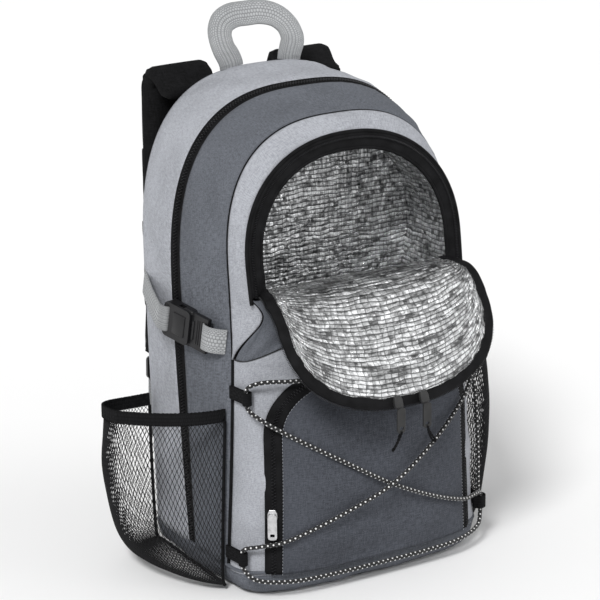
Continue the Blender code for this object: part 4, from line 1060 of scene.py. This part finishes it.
def make_base():
    """The base cloth with its rounded edge, and the seam over it."""
    wrinkle = sizes().wrinkle_height
    outline = base_outline()
    half = max(p.x for p in outline)
    front = min(p.y for p in outline)
    back = max(p.y for p in outline)
    middle = (front + back) / 2
    curve = smooth_path([Vector((0.0, inset, up)) for inset, up in BASE_ROUND], 4)

    def point(u, v):
        spot = outline[int(round(u * len(outline))) % len(outline)]
        place = along(curve, v)
        deep = 1 - place.y * MM / ((back - front) / 2)
        return Vector((spot.x * (1 - place.y * MM / half), middle + (spot.y - middle) * deep,
                       max(place.z, 0.0) * RIM_HEIGHT))
    bm = bmesh.new()
    lay_grid(bm, point, len(outline), 24, (0.85, 0.04), folds(30.0, 0.8 * wrinkle, 21.0),
             Vector((0.0, -0.01, 0.06)), weld=True)
    rim = [e for e in bm.edges if e.is_boundary and e.verts[0].co.z < 2 * MM]
    bmesh.ops.holes_fill(bm, edges=rim, sides=0)
    for vert in bm.verts:
        vert.co.z = max(vert.co.z, 0.0)
    settle("base_cloth", bm, "dark", ("base_panel",), wall=1.2 * MM)
    line = [p + Vector((0.0, 0.0, 1.0 * MM)) for p in outline]
    cord_piece("base_seam", line + line[:1], 1.5 * MM, 8, "dark")


def make_back():
    """The back's padding, with a channel down the spine and ribs across."""
    wrinkle = sizes().wrinkle_height
    line = arch_line(BACK, 2.0 * MM)
    left_side = line[:len(line) // 2 + 1]

    def point(u, v):
        share = math.sin(math.pi * (u - 0.5))
        left = along(left_side, v * 0.995)
        y = arch_depth(BACK, left.z) + 1.5 * MM
        x = -left.x * share
        pad = min((1 - abs(share)) * 5, 1.0) * min(v * 20, 1.0) * min((1 - v) * 9, 1.0)
        spine = math.exp(-(x / (11 * MM)) ** 2)
        ribs = 0.5 + 0.5 * math.cos(math.tau * left.z / (52 * MM))
        channel = max(spine, (ribs ** 8) * (1 if abs(x) < 96 * MM else 0))
        return Vector((x, y + 5.5 * MM * pad * (1 - 0.9 * channel), left.z))
    piece = cloth_piece("back_padding", point, 90, 150, (0.26, 0.45), "spacer", ("back_panel",),
                        folds(24.0, 0.9 * wrinkle, 31.0), wall=1.6 * MM)


def liner_ring(inset, depth, slope):
    """A section of the tub: its floor, its legs and the arch over them."""
    spring = COOLER.spring
    half = LINER_HALF - inset
    legs = []
    for i in range(LEGS):
        z = LINER_FLOOR + (spring - LINER_FLOOR) * i / LEGS
        share = (spring - z) / (spring - LINER_FLOOR + 2 * MM)
        legs.append((-(half - 18 * MM * share ** 1.5), z))
    points = legs_and_arch(legs, half, spring, COOLER.top - 8 * MM - inset, COOLER.power)
    ring = [Vector((x, depth + slope * (z - COOLER.top), z)) for x, z in points]
    return even(ring, 220, closed=True)


def make_cooler():
    """The tub's foil and the sill in front of it."""
    wrinkle = sizes().wrinkle_height
    front = liner_ring(2 * MM, LINER_FRONT, 0.12)
    back = liner_ring(3 * MM, 1.6 * MM, 0.035)
    count = len(front)
    centre = sum(back, Vector()) / count
    wall_share = 0.4

    def point(u, v):
        i = int(round(u * count)) % count
        if v < wall_share:
            return front[i].lerp(back[i], v / wall_share)
        return back[i].lerp(centre, (v - wall_share) / (1 - wall_share) * 0.999)

    def crinkle(u, v, co):
        ridge = abs(noise.noise(co * 75.0)) + 0.5 * abs(noise.noise(co * 190.0))
        waves = noise.noise(co * 26.0)
        return (1.6 * wrinkle * waves - 1.8 * wrinkle * ridge) * min(v * 8, 1.0)
    bm = bmesh.new()
    lay_grid(bm, point, count, 110, (0.62, 0.16), crinkle, centre + Vector((0.0, -0.03, 0.0)),
             weld=True)
    bmesh.ops.reverse_faces(bm, faces=bm.faces)
    layer = uv_layer(bm)
    for face in bm.faces:
        across, _, up = (abs(n) for n in face.normal)
        axes = (0, 2) if abs(face.normal.y) > 0.6 else (1, 2) if across > up else (0, 1)
        for loop in face.loops:
            loop[layer].uv = [loop.vert.co[axis] for axis in axes]
    settle("cooler_tub_foil", bm, "foil", ("cooler_liner",), wall=0.8 * MM)

    sill = bmesh.new()

    def lip(u, v):
        z = LINER_FLOOR + 44 * MM * v
        return Vector(((u * 2 - 1) * (92 + 12 * v) * MM,
                       LINER_FRONT + FRONT.slope * (z - COOLER.top), z))
    lay_grid(sill, lip, 60, 16, (0.2, 0.045), crinkle, Vector((0.0, -0.2, 0.26)))
    settle("cooler_sill_foil", sill, "foil", wall=1.2 * MM)


def make_cooler_frame():
    """The black zip border round the cooler's mouth."""
    start = HINGE_HEIGHT + 2 * MM
    outer = arch_line(COOLER, 0.0, -2.0 * MM, start)
    inner = arch_line(COOLER, FRAME_WIDTH, -1.4 * MM, start)
    cloth_piece("cooler_border", spread(outer, inner), 200, 8, (line_length(outer), FRAME_WIDTH),
                "tape", ("cooler_zip_frame",), sewn_relief(0.9 * MM, 60.0, 0.8, 5.0),
                away=Vector((0.0, 0.1, 0.33)), wall=2.0 * MM)
    line = arch_line(COOLER, 4.0 * MM, -3.6 * MM, start)
    open_zip("cooler_mouth_teeth", line, [Vector((0.0, -1.0, 0.12))] * len(line), 2.6 * MM,
             1.6 * MM)
    rim = even(arch_line(COOLER, FRAME_WIDTH, -1.0 * MM, start), 200)
    cord_piece("cooler_mouth_binding", rim, 1.7 * MM, 8)


def make_flap():
    """The hanging flap: foil inside, dark cover outside, binding and zip edge."""
    wrinkle = sizes().wrinkle_height
    inset = BINDING_WIDTH - 1.5 * MM

    def face(lift):
        return lambda u, v: flap_point(math.sin(math.pi * (u - 0.5)), v, inset, lift)

    def crinkle(u, v, co):
        edge = min(u, 1 - u)
        fade = min(edge * 12, 1.0) * min((1 - v) * 8, 1.0) * min(v * 8 + 0.2, 1.0)
        ridge = abs(noise.noise(Vector((co.x * 60, co.y * 120, co.z * 120))))
        ridge += 0.5 * abs(noise.noise(co * 230.0))
        waves = noise.noise(Vector((co.x * 12, co.y * 40, co.z * 40)))
        streak = abs(noise.noise(Vector((co.x * 16, co.y * 210, co.z * 210)))) * min(u * 1.6, 1.0)
        swell = 2.0 * MM * math.sin(math.pi * u) ** 0.7 * math.sin(math.pi * min(v, 0.98)) ** 0.7
        return fade * wrinkle * (1.3 * waves - 1.2 * ridge - 1.0 * streak) + swell
    bm = bmesh.new()
    lay_grid(bm, face(2.0 * MM), 150, 110, (0.2, 0.14), crinkle, Vector((0.0, -0.05, 0.10)))
    settle("flap_foil", bm, "foil", ("flap_panel",), wall=0.8 * MM)
    cloth_piece("flap_cover_cloth", face(-1.8 * MM), 80, 60, (0.2, 0.14), "dark", (),
                folds(30.0, 1.0 * wrinkle, 9.0), away=Vector((0.0, -0.30, 0.40)))
    outer = even(flap_edge(0.0, 0.0), 260)
    inner = even(flap_edge(BINDING_WIDTH, 0.0), 260)
    lifted = even(flap_edge(BINDING_WIDTH, 1.0 * MM), 260)
    count = len(outer) - 1

    def roll(u, v):
        i = int(round(u * count))
        angle = math.tau * v
        centre = outer[i].lerp(inner[i], 0.5)
        across = (outer[i] - inner[i]) * 0.5
        up = (lifted[i] - inner[i]).normalized()
        return (centre + across * rounded(math.cos(angle), 0.7)
                + up * rounded(math.sin(angle), 0.8) * 3.1 * MM)
    band = bmesh.new()
    lay_grid(band, roll, count, 20, (line_length(outer), 0.03),
             lambda u, v, co: 0.5 * wrinkle * noise.noise(co * 90.0), weld=True)
    close_ends(band)
    settle("flap_binding_tape", band, "tape", ("flap_binding",))
    edge = even(flap_edge(-0.6 * MM, -1.2 * MM), 260)
    centre = Vector((0.0, -0.10, 0.26))
    open_zip("flap_edge_teeth", edge, [(p - centre).normalized() for p in edge], 1.8 * MM,
             2.0 * MM)
    line, over = (even(flap_edge(BINDING_WIDTH - 1.0 * MM, lift * MM), 200)
                  for lift in (3.1, 4.1))
    row_piece("flap_stitches", line, [b - a for a, b in zip(line, over)], 3.0 * MM,
              (2.1 * MM, 0.5 * MM, 0.5 * MM), "thread")


def make_pocket():
    """The front pocket's face and its zip."""
    wrinkle = sizes().wrinkle_height
    sheets = [[Vector((p.x, front_depth(p.x, p.z) - lift * MM, p.z))
               for p in arch_line(POCKET, inset)]
              for inset, lift in ((0.0, 1.2), (POCKET_ZIP_WIDTH, 6.0))]
    behind = Vector((0.0, 0.1, 0.1))
    cloth_piece("pocket_zip_tape", spread(*sheets), 200, 10,
                (line_length(sheets[0]), POCKET_ZIP_WIDTH), "tape", ("pocket_zip",),
                sewn_relief(0.8 * MM, 50.0, 0.8, 2.0), away=behind, wall=1.0 * MM)
    middle = [p + Vector((0.0, -1.2 * MM, 0.0)) for p in midway(*sheets, 0.45)]
    closed_zip("pocket_zip_teeth", middle, line_normals(*sheets), 5.0 * MM)
    line = arch_line(POCKET, POCKET_ZIP_WIDTH - 0.8 * MM)
    left_side = even(line[:len(line) // 2 + 1], 120)

    def face(u, v):
        share = math.sin(math.pi * (u - 0.5))
        left = along(left_side, v * 0.9995)
        return Vector((-left.x * share, pocket_depth(share, left.x * share, left.z) - 0.4 * MM,
                       left.z))

    def fullness(u, v, co):
        edge = min(min(u, 1 - u) * 9, 1.0) * min((1 - v) * 9, 1.0) * min(v * 14, 1.0)
        drape = noise.noise(Vector((co.x * 12, 1.0, co.z * 18))) * 2.4
        drag = noise.noise(Vector((co.x * 30 + co.z * 26, 4.0, co.z * 9 - co.x * 6))) * 1.3
        return edge * wrinkle * (drape + drag)
    cloth_piece("pocket_cloth_face", face, 90, 90, (0.2, 0.2), "pocket", ("front_pocket",),
                fullness, away=behind)
    rows = 160
    edge = [face(0.012, i / rows) for i in range(rows + 1)]
    edge += [face(0.988, 1 - i / rows) for i in range(rows + 1)]
    outwards = [Vector((p.x * 2.5, -0.12, max(p.z - 0.14, 0.0))).normalized() for p in edge]
    row_piece("pocket_stitches", edge, outwards, STITCH_PITCH, (2.2 * MM, 0.5 * MM, 0.5 * MM),
              "grey_thread", -0.3 * MM)


def make_net(side_name, side):
    """One side pocket: diamond netting, an elastic hem and a bound seam."""
    bm = bmesh.new()
    span = math.hypot(NET_WIDTH, NET_HEIGHT) * 1.05
    count = int(span / (sizes().net_cell / math.sqrt(2)))
    bmesh.ops.create_grid(bm, x_segments=count, y_segments=count, size=span / 2)
    bmesh.ops.rotate(bm, verts=bm.verts, matrix=Matrix.Rotation(math.radians(45), 3, "Z"))
    bmesh.ops.scale(bm, verts=bm.verts, vec=(1.0, 1.25, 1.0))
    for normal, reach in (((1, 0, 0), NET_WIDTH), ((-1, 0, 0), NET_WIDTH),
                          ((0, 1, 0), NET_HEIGHT), ((0, -1, 0), NET_HEIGHT)):
        bmesh.ops.bisect_plane(bm, geom=[*bm.verts, *bm.edges, *bm.faces],
                               plane_co=Vector(normal) * reach / 2, plane_no=normal,
                               clear_outer=True)
    for vert in bm.verts:
        t = min(max(vert.co.x / NET_WIDTH + 0.5, 0.0), 1.0)
        v = min(max(vert.co.y / NET_HEIGHT + 0.5, 0.0), 1.0)
        spot = mesh_point(side, 0.5 + (t - 0.5) * 0.98, v)
        sway = noise.noise(spot * 30.0) * 1.2 * MM * math.sin(math.pi * t)
        vert.co = spot + Vector((side * sway, 0.0, 0.0))
    piece = settle(f"pocket_net_{side_name}", bm, "net", (f"mesh_pocket_{side_name}",))
    cords = piece.modifiers.new("cords", "WIREFRAME")
    cords.thickness = sizes().net_thread
    cords.use_even_offset = False
    cords.use_replace = True
    cords.use_boundary = True

    def roll(u, v):
        return along([mesh_point(side, 0.01 + u * 0.98, 1.0, lift * MM, off * MM)
                      for lift, off in HEM_SECTION], v)

    def gathers(u, v, co):
        return 0.35 * MM * math.sin(u * 420)
    hem = bmesh.new()
    lay_grid(hem, roll, 180, 12, (NET_WIDTH, 0.026), gathers, weld=True)
    close_ends(hem)
    settle(f"pocket_hem_band_{side_name}", hem, "black_webbing", (f"pocket_hem_{side_name}",))
    marks = [(0.012, 1 - i / 30) for i in range(30)]
    marks += [(0.012 + 0.976 * i / 60, 0.0) for i in range(61)]
    marks += [(0.988, i / 30) for i in range(1, 31)]
    seam = even([mesh_point(side, t, v) for t, v in marks], 160)
    cord_piece(f"pocket_net_seam_{side_name}", seam, 1.6 * MM, 6)


def strap_frame(side):
    """Where the side buckle lies: its matrix, centre and directions."""
    rear, front = (Vector((side * arch_half(arch, BUCKLE_HEIGHT),
                           arch_depth(arch, BUCKLE_HEIGHT), 0.0)) for arch in (WIDEST, FRONT))
    forward = (front - rear).normalized()
    outward = Vector((-forward.y, forward.x, 0.0)) * side
    centre = rear.lerp(front, 0.36) + outward * 8 * MM
    centre.z = BUCKLE_HEIGHT
    forward = (forward + Vector((0.0, 0.0, -0.18))).normalized()
    up = square_to(forward, outward)
    across = up.cross(forward)
    rotation = Matrix((forward, across, up)).transposed().to_4x4()
    return Matrix.Translation(centre) @ rotation, centre, forward, outward, across


def buckle_details(side_name, place):
    """Release arms, a raised face and grip ribs on the closed buckle."""
    #          centre along, across, outward    size along, across, outward
    blocks = [((1.0, 15.6, 0.0), (12.0, 4.4, 6.4)), ((1.0, -15.6, 0.0), (12.0, 4.4, 6.4)),
              ((-6.5, 0.0, 5.6), (15.0, 21.0, 1.6)), ((9.0, 0.0, 2.6), (3.0, 19.0, 1.6)),
              ((-23.6, 0.0, 5.6), (3.0, 29.0, 1.4))]
    blocks += [((14.0 + 2.4 * i, 0.0, 2.4), (1.2, 24.0, 1.0)) for i in range(2)]
    bm = bmesh.new()
    for centre, size in blocks:
        spot = place @ Matrix.Translation(Vector(centre) * MM)
        made = bmesh.ops.create_cube(bm, size=1.0)
        bmesh.ops.scale(bm, verts=made["verts"], vec=Vector(size) * MM)
        edges = list({edge for vert in made["verts"] for edge in vert.link_edges})
        bevelled = bmesh.ops.bevel(bm, geom=edges, affect="EDGES", segments=2, profile=0.5,
                                   offset=min(size) * 0.35 * MM, material=-1)
        block = {vert for face in bevelled["faces"] for vert in face.verts}
        block |= {vert for vert in made["verts"] if vert.is_valid}
        bmesh.ops.transform(bm, matrix=spot, verts=list(block))
    settle(f"buckle_grips_{side_name}", bm, "plastic")


def make_side_strap(side_name, side):
    """A side strap's two webbings and the closed buckle between them."""
    place, centre, forward, outward, across = strap_frame(side)
    thick = 1.6 * MM
    half = BUCKLE_LENGTH / 2
    slot = half - 5.5 * MM
    for end, name, arch, shift, deep in (
            (-1, "strap_rear", BACK, -WALL, 11 * MM),
            (1, "strap_front", FRONT, PIPING + thick, 4.5 * MM)):
        over = deep / 2 + 0.9 * MM + thick / 2
        local = [(slot, 0.0), (slot, deep / 2), (slot + 8 * MM / 3, over),
                 (half, over + 0.3 * MM), (half + 4 * MM, over)]
        path = [place @ Vector((end * a, 0.0, b)) for a, b in local]
        depth = arch_depth(arch, BUCKLE_HEIGHT) + shift
        height = centre.z - (depth - centre.y) * forward.z / -forward.y
        root = Vector((side * (side_half(depth, height) + 0.9 * MM + thick / 2), depth, height))
        path += [path[-1].lerp(root, 0.5) + outward * 1.6 * MM, root]
        band_piece(f"{name}_webbing_{side_name}", smooth_path(path, 8), [across], WEBBING, thick,
                   "webbing", (f"{name}_{side_name}",))
    buckle_details(side_name, place)
    for node, name, edge in (("socket", "shell", 0.9 * MM), ("prong", "clip", 0.6 * MM)):
        moulded(f"buckle_{node}_{side_name}", f"buckle_{name}_{side_name}", "plastic", edge)


def make_tab(name, side, height, strands):
    """A folded tab on the piping, rolled round the elastic cord's strands."""
    root = Vector((side * (arch_half(FRONT, height) + 2 * TAB_WALL),
                   arch_depth(FRONT, height) - 3.1 * MM, height))
    direction = Vector((-side * 0.1, -1.0, 0.0)).normalized()
    outward = square_to(direction, Vector((side, 0.0, 0.0)))
    hole = CORD_RADIUS * strands + 0.8 * MM
    eye = hole + TAB_WALL - 0.6 * MM
    ring = TAB_LENGTH - hole - TAB_WALL
    layer = outward * 0.9 * MM
    neck = root + direction * (ring - eye * 1.2)
    path = [root + layer, neck + layer]
    for i in range(13):
        angle = math.radians(-150 + 300 * i / 12)
        path.append(root + direction * (ring + eye * math.cos(angle))
                    + outward * (-eye * math.sin(angle)))
    path += [neck - layer, root - layer]
    band_piece(f"{name}_webbing", smooth_path(path, 3), [Vector((0.0, 0.0, 1.0))], TAB_WIDTH,
               1.2 * MM, "black_webbing", (name,), 4)


# The elastic cord's route in mm, from its hidden end round all four tabs
BUNGEE_ROUTE = (
    (132.9, -80.4, 38), (132.9, -80.4, 50), (130, -84, 64), (128, -86, 100),
    (126, -84, 150), (124.5, -78.8, 187), (124.5, -78.8, 205), (114, -90, 211),
    (88, -101, 211), (44, -109, 209), (0, -111, 208), (-44, -109, 209), (-88, -101, 211),
    (-114, -90, 211), (-124.1, -82.9, 205), (-124.1, -82.9, 187), (-116, -92, 177),
    (-92, -107, 160), (-50, -122, 134), (2, -126, 102), (50, -121, 78), (96, -109, 60),
    (121, -95, 56), (132.5, -84.6, 50), (132.5, -84.6, 33), (124, -93, 22),
    (95, -105, 18), (55, -109, 17), (0, -110, 17), (-55, -109, 17), (-95, -105, 18),
    (-124, -93, 22), (-132.5, -84.4, 33), (-132.5, -84.4, 50), (-122, -95, 55),
    (-106, -105, 58), (-90, -111, 63), (-50, -123, 80), (2, -131, 103), (50, -125, 132),
    (92, -110, 160), (114, -95, 177), (124.1, -83.0, 187), (124.1, -83.0, 198))


def make_bungee():
    """The laced elastic cord and its four tabs."""
    path = smooth_path([Vector(point) * MM for point in BUNGEE_ROUTE], 10)
    line = even(path, int(line_length(path) / (1.6 * MM)))
    cord_piece("bungee_braid", line, CORD_RADIUS, 12, "elastic", ("bungee_cord",))
    for name, side in SIDES:
        for level, height in TAB_LEVELS:
            make_tab(f"{level}_tab_{name}", side, height, 2 if side > 0 else 1)


# A leg of the haul loop in shares of its half span and rise, and how far it turns
HAUL_LEG = ((1.05, 0.00, -0.015), (1.07, 0.00, 0.08), (1.15, 0.02, 0.23), (1.25, 0.06, 0.38),
            (1.28, 0.14, 0.53), (1.21, 0.30, 0.73), (0.95, 0.47, 0.91), (0.50, 0.58, 1.00))
HAUL_TWIST = ((0.0, 0.0), (0.45, 0.0), (0.92, 0.96), (1.0, 1.0))


def make_haul_loop():
    """The haul loop, whose legs lie flat and whose crown stands on edge."""
    foot = arch_depth(BACK, BACK.top) - 2.4 * MM
    span = 30 * MM
    rise = 43 * MM
    right = [Vector((x * span, foot + y * rise, BACK.top + z * rise)) for x, y, z in HAUL_LEG]
    crown_point = Vector((0.0, foot + 0.62 * rise, BACK.top + rise))
    path = smooth_path([*right, crown_point, *mirrored(right)], 8)
    count = len(path) - 1
    lean = math.radians(60)
    sideways = []
    for i in range(count + 1):
        turn = math.radians(90) * table_value(HAUL_TWIST, 1 - abs(2 * i / count - 1))
        if i * 2 > count:
            turn = math.pi - turn
        sideways.append(Vector((math.cos(turn), math.sin(turn) * math.cos(lean),
                                math.sin(turn) * math.sin(lean))))
    band_piece("haul_loop_webbing", path, sideways, WEBBING, 2.4 * MM, "webbing",
               ("haul_loop",))


def make_shoulder_strap(side_name):
    """A padded shoulder strap, its ladder lock and the webbing below it."""
    piece = puffed(f"shoulder_strap_{side_name}", f"shoulder_pad_{side_name}", "black", 4 * MM)
    unwrap_by_sides(piece)
    moulded(f"ladder_lock_{side_name}", f"ladder_lock_frame_{side_name}", "plastic", 0.7 * MM)
    piece = settle(f"lower_strap_webbing_{side_name}", copied(f"lower_webbing_{side_name}"),
                   "webbing", (f"lower_webbing_{side_name}",))
    unwrap_by_sides(piece)


# The puller's cord in mm from the puller's hole
PULLER_CORD = ((0, 1.6, -0.5), (1.5, 0.5, -3.5), (4.0, -0.6, -9), (7.5, -0.8, -14),
               (9.5, -0.4, -16.5), (8.5, 0.6, -18), (5.5, 0.8, -14.5), (2.5, 0.2, -9),
               (0.8, -0.8, -4), (0, -1.8, -0.5))


def puller_cord(prefix, side):
    """A short twisted cord through the hole of a cooler puller."""
    across, depth, height = COOLER_PULLER_HOLE
    hole = Vector((side * across, depth, height))
    loop = [hole + Vector((x * side, y, z)) * MM for x, y, z in PULLER_CORD]
    path = even(smooth_path(loop, 6), 54)
    bm = bmesh.new()
    for start in (0.0, math.pi):
        strand = []
        for i, (spot, _, beside, up) in enumerate(frames_along(path, carried_sides(path))):
            turn = start + i * 0.75
            strand.append(spot + (beside * math.cos(turn) + up * math.sin(turn)) * 0.55 * MM)
        tube(bm, strand, 0.65 * MM, 6)
    settle(f"{prefix}_puller_cord", bm, "tape", (), f"{prefix}_puller")


def make_hardware():
    """Every slider and puller, with cords on the cooler's pullers."""
    for name, side in SIDES:
        puller_cord(f"cooler_{name}", side)
    for prefix, finish in (("pocket", "zinc"), ("cooler_left", "gunmetal"),
                           ("cooler_right", "gunmetal")):
        moulded(f"{prefix}_slider", f"{prefix}_slider_body", finish, 0.8 * MM)
        moulded(f"{prefix}_puller", f"{prefix}_puller_bar", finish, 0.5 * MM, f"{prefix}_puller")


# Lights: name, direction towards the light, strength, angle in degrees
LAMPS = (("key_light", (-0.75, -0.62, 1.0), 2.3, 16), ("fill_light", (0.9, -0.7, 0.5), 0.7, 40))
CAMERA_PLACE = Vector((-1.2746, -2.0874, 1.0148))
CAMERA_RIGHT = Vector((0.8516, -0.5240, -0.0107))
CAMERA_FORWARD = Vector((0.4962, 0.8127, -0.3055))
CAMERA_LENS = 162.7
CAMERA_SHIFT = (-0.0258, 0.0273)


def make_floor():
    bm = bmesh.new()
    bmesh.ops.create_grid(bm, x_segments=4, y_segments=4, size=20.0)
    mesh = bpy.data.meshes.new("floor")
    bm.to_mesh(mesh)
    bm.free()
    f = Finish("studio_floor", {"Roughness": 0.9, "Specular IOR Level": 0.1})
    cloudy = f.noise(f.place(), 1.5)
    f.to("Base Color", f.blend(cloudy, (0.86, 0.86, 0.86), (0.90, 0.90, 0.90)))
    mesh.materials.append(f.material)
    link("floor", mesh)


def make_stage():
    """A white floor and world, two soft lights and the camera."""
    make_floor()
    world = bpy.data.worlds.new("studio")
    world.use_nodes = True
    background = world.node_tree.nodes["Background"]
    background.inputs["Color"].default_value = (1.0, 1.0, 1.0, 1.0)
    background.inputs["Strength"].default_value = 0.55
    scene = bpy.context.scene
    scene.world = world
    for name, towards, strength, angle in LAMPS:
        lamp = bpy.data.lights.new(name, "SUN")
        lamp.energy = strength
        lamp.angle = math.radians(angle)
        holder = link(name, lamp)
        holder.rotation_euler = Vector(towards).to_track_quat("Z", "Y").to_euler()
    view = bpy.data.cameras.new("camera")
    view.sensor_width = 36.0
    view.lens = CAMERA_LENS
    view.shift_x, view.shift_y = CAMERA_SHIFT
    forward = CAMERA_FORWARD.normalized()
    up = CAMERA_RIGHT.cross(forward).normalized()
    rotation = Matrix((forward.cross(up), up, -forward)).transposed().to_4x4()
    scene.camera = link("camera", view)
    scene.camera.matrix_world = Matrix.Translation(CAMERA_PLACE) @ rotation
    scene.view_settings.view_transform = "Standard"


# The add-on's panel

def colour_field(name, description, default):
    return bpy.props.FloatVectorProperty(name=name, description=description, default=default,
                                         subtype="COLOR", min=0.0, max=1.0)


def length_field(name, description, default):
    return bpy.props.FloatProperty(name=name, description=description, default=default,
                                   unit="LENGTH", min=0.0)


class BackpackSizes(bpy.types.PropertyGroup):
    wrinkle_height: length_field("Wrinkle height", "How far the cloth's folds stand out", 1.5 * MM)
    zip_pitch: length_field("Zip pitch", "Distance from one zip tooth to the next", 1.5 * MM)
    net_cell: length_field("Net cell", "Width of one cell of the side pockets' net", 3.9 * MM)
    net_thread: length_field("Net thread", "Thickness of the net's cords", 0.85 * MM)


class BackpackColours(bpy.types.PropertyGroup):
    light_cloth: colour_field("Light cloth", "Heathered cloth of the sides and the front",
                              (0.350, 0.361, 0.392))
    dark_cloth: colour_field("Dark cloth", "Heathered cloth of the wide gusset and the base",
                             (0.114, 0.122, 0.140))
    pocket_cloth: colour_field("Pocket cloth", "Cloth of the front pocket", (0.061, 0.066, 0.079))
    black: colour_field("Black", "Tapes, bindings, padding and cord", (0.006, 0.006, 0.0066))
    webbing: colour_field("Webbing", "Haul loop and side straps", (0.41, 0.42, 0.43))
    foil: colour_field("Foil", "Lining of the cooler and of its flap", (0.86, 0.87, 0.88))
    plastic: colour_field("Plastic", "Buckles and ladder locks", (0.010, 0.010, 0.011))
    zinc: colour_field("Zinc", "Sliders and pullers", (0.66, 0.66, 0.67))
    tracer: colour_field("Tracer", "Light yarns of the elastic cord", (0.75, 0.75, 0.75))


class BACKPACK_OT_body(bpy.types.Operator):
    """Make the gussets, the main zip, the piping, the base and the front panels"""

    bl_idname = "backpack.body"
    bl_label = "Body cloth"
    bl_options = {"REGISTER", "UNDO"}

    def execute(self, context):
        make_bands()
        make_piping()
        make_front_panels()
        make_base()
        return {"FINISHED"}


class BACKPACK_OT_back(bpy.types.Operator):
    """Make the padded back panel"""

    bl_idname = "backpack.back"
    bl_label = "Back panel"
    bl_options = {"REGISTER", "UNDO"}

    def execute(self, context):
        make_back()
        return {"FINISHED"}


class BACKPACK_OT_cooler(bpy.types.Operator):
    """Make the cooler's gusset, tub and zip border"""

    bl_idname = "backpack.cooler"
    bl_label = "Cooler"
    bl_options = {"REGISTER", "UNDO"}

    def execute(self, context):
        make_cooler_gusset()
        make_cooler()
        make_cooler_frame()
        return {"FINISHED"}


class BACKPACK_OT_flap(bpy.types.Operator):
    """Make the open flap with its foil, cover and binding"""

    bl_idname = "backpack.flap"
    bl_label = "Cooler flap"
    bl_options = {"REGISTER", "UNDO"}

    def execute(self, context):
        make_flap()
        return {"FINISHED"}


class BACKPACK_OT_pocket(bpy.types.Operator):
    """Make the front pocket and its zip"""

    bl_idname = "backpack.pocket"
    bl_label = "Front pocket"
    bl_options = {"REGISTER", "UNDO"}

    def execute(self, context):
        make_pocket()
        return {"FINISHED"}


class BACKPACK_OT_nets(bpy.types.Operator):
    """Make the two side pockets of netting with their elastic hems"""

    bl_idname = "backpack.nets"
    bl_label = "Side nets"
    bl_options = {"REGISTER", "UNDO"}

    def execute(self, context):
        for side_name, side in SIDES:
            make_net(side_name, side)
        return {"FINISHED"}


class BACKPACK_OT_side_straps(bpy.types.Operator):
    """Make the side straps' webbing and their buckles"""

    bl_idname = "backpack.side_straps"
    bl_label = "Side straps"
    bl_options = {"REGISTER", "UNDO"}

    def execute(self, context):
        for side_name, side in SIDES:
            make_side_strap(side_name, side)
        return {"FINISHED"}


class BACKPACK_OT_bungee(bpy.types.Operator):
    """Make the laced elastic cord and the tabs that hold it"""

    bl_idname = "backpack.bungee"
    bl_label = "Elastic cord"
    bl_options = {"REGISTER", "UNDO"}

    def execute(self, context):
        make_bungee()
        return {"FINISHED"}


class BACKPACK_OT_straps(bpy.types.Operator):
    """Make the haul loop, the padded shoulder straps and their webbing"""

    bl_idname = "backpack.straps"
    bl_label = "Carrying straps"
    bl_options = {"REGISTER", "UNDO"}

    def execute(self, context):
        make_haul_loop()
        for side_name, _ in SIDES:
            make_shoulder_strap(side_name)
        return {"FINISHED"}


class BACKPACK_OT_hardware(bpy.types.Operator):
    """Make the zip sliders, their pullers and the pullers' cords"""

    bl_idname = "backpack.hardware"
    bl_label = "Sliders and pullers"
    bl_options = {"REGISTER", "UNDO"}

    def execute(self, context):
        make_hardware()
        return {"FINISHED"}


class BACKPACK_OT_stage(bpy.types.Operator):
    """Make the floor, the soft lights and the camera"""

    bl_idname = "backpack.stage"
    bl_label = "Stage"
    bl_options = {"REGISTER", "UNDO"}

    def execute(self, context):
        make_stage()
        return {"FINISHED"}


OPERATORS = (BACKPACK_OT_stage, BACKPACK_OT_body, BACKPACK_OT_back, BACKPACK_OT_cooler,
             BACKPACK_OT_flap, BACKPACK_OT_pocket, BACKPACK_OT_nets, BACKPACK_OT_side_straps,
             BACKPACK_OT_bungee, BACKPACK_OT_straps, BACKPACK_OT_hardware)


class BACKPACK_PT_panel(bpy.types.Panel):
    """Sizes, colours and the operators that make the backpack's pieces"""

    bl_idname = "BACKPACK_PT_panel"
    bl_label = "Backpack"
    bl_space_type = "VIEW_3D"
    bl_region_type = "UI"
    bl_category = "Backpack"

    def draw(self, context):
        for group in (context.scene.backpack_sizes, context.scene.backpack_colours):
            for name in group.__annotations__:
                self.layout.prop(group, name)
        for operator in OPERATORS:
            self.layout.operator(operator.bl_idname)


CLASSES = (BackpackSizes, BackpackColours, *OPERATORS, BACKPACK_PT_panel)


def register():
    for item in CLASSES:
        bpy.utils.register_class(item)
    bpy.types.Scene.backpack_sizes = bpy.props.PointerProperty(type=BackpackSizes)
    bpy.types.Scene.backpack_colours = bpy.props.PointerProperty(type=BackpackColours)


def unregister():
    del bpy.types.Scene.backpack_colours
    del bpy.types.Scene.backpack_sizes
    for item in reversed(CLASSES):
        bpy.utils.unregister_class(item)


def main():
    register()
    for operator in OPERATORS:
        group, name = operator.bl_idname.split(".")
        getattr(getattr(bpy.ops, group), name)()


if __name__ == "__main__":
    main()
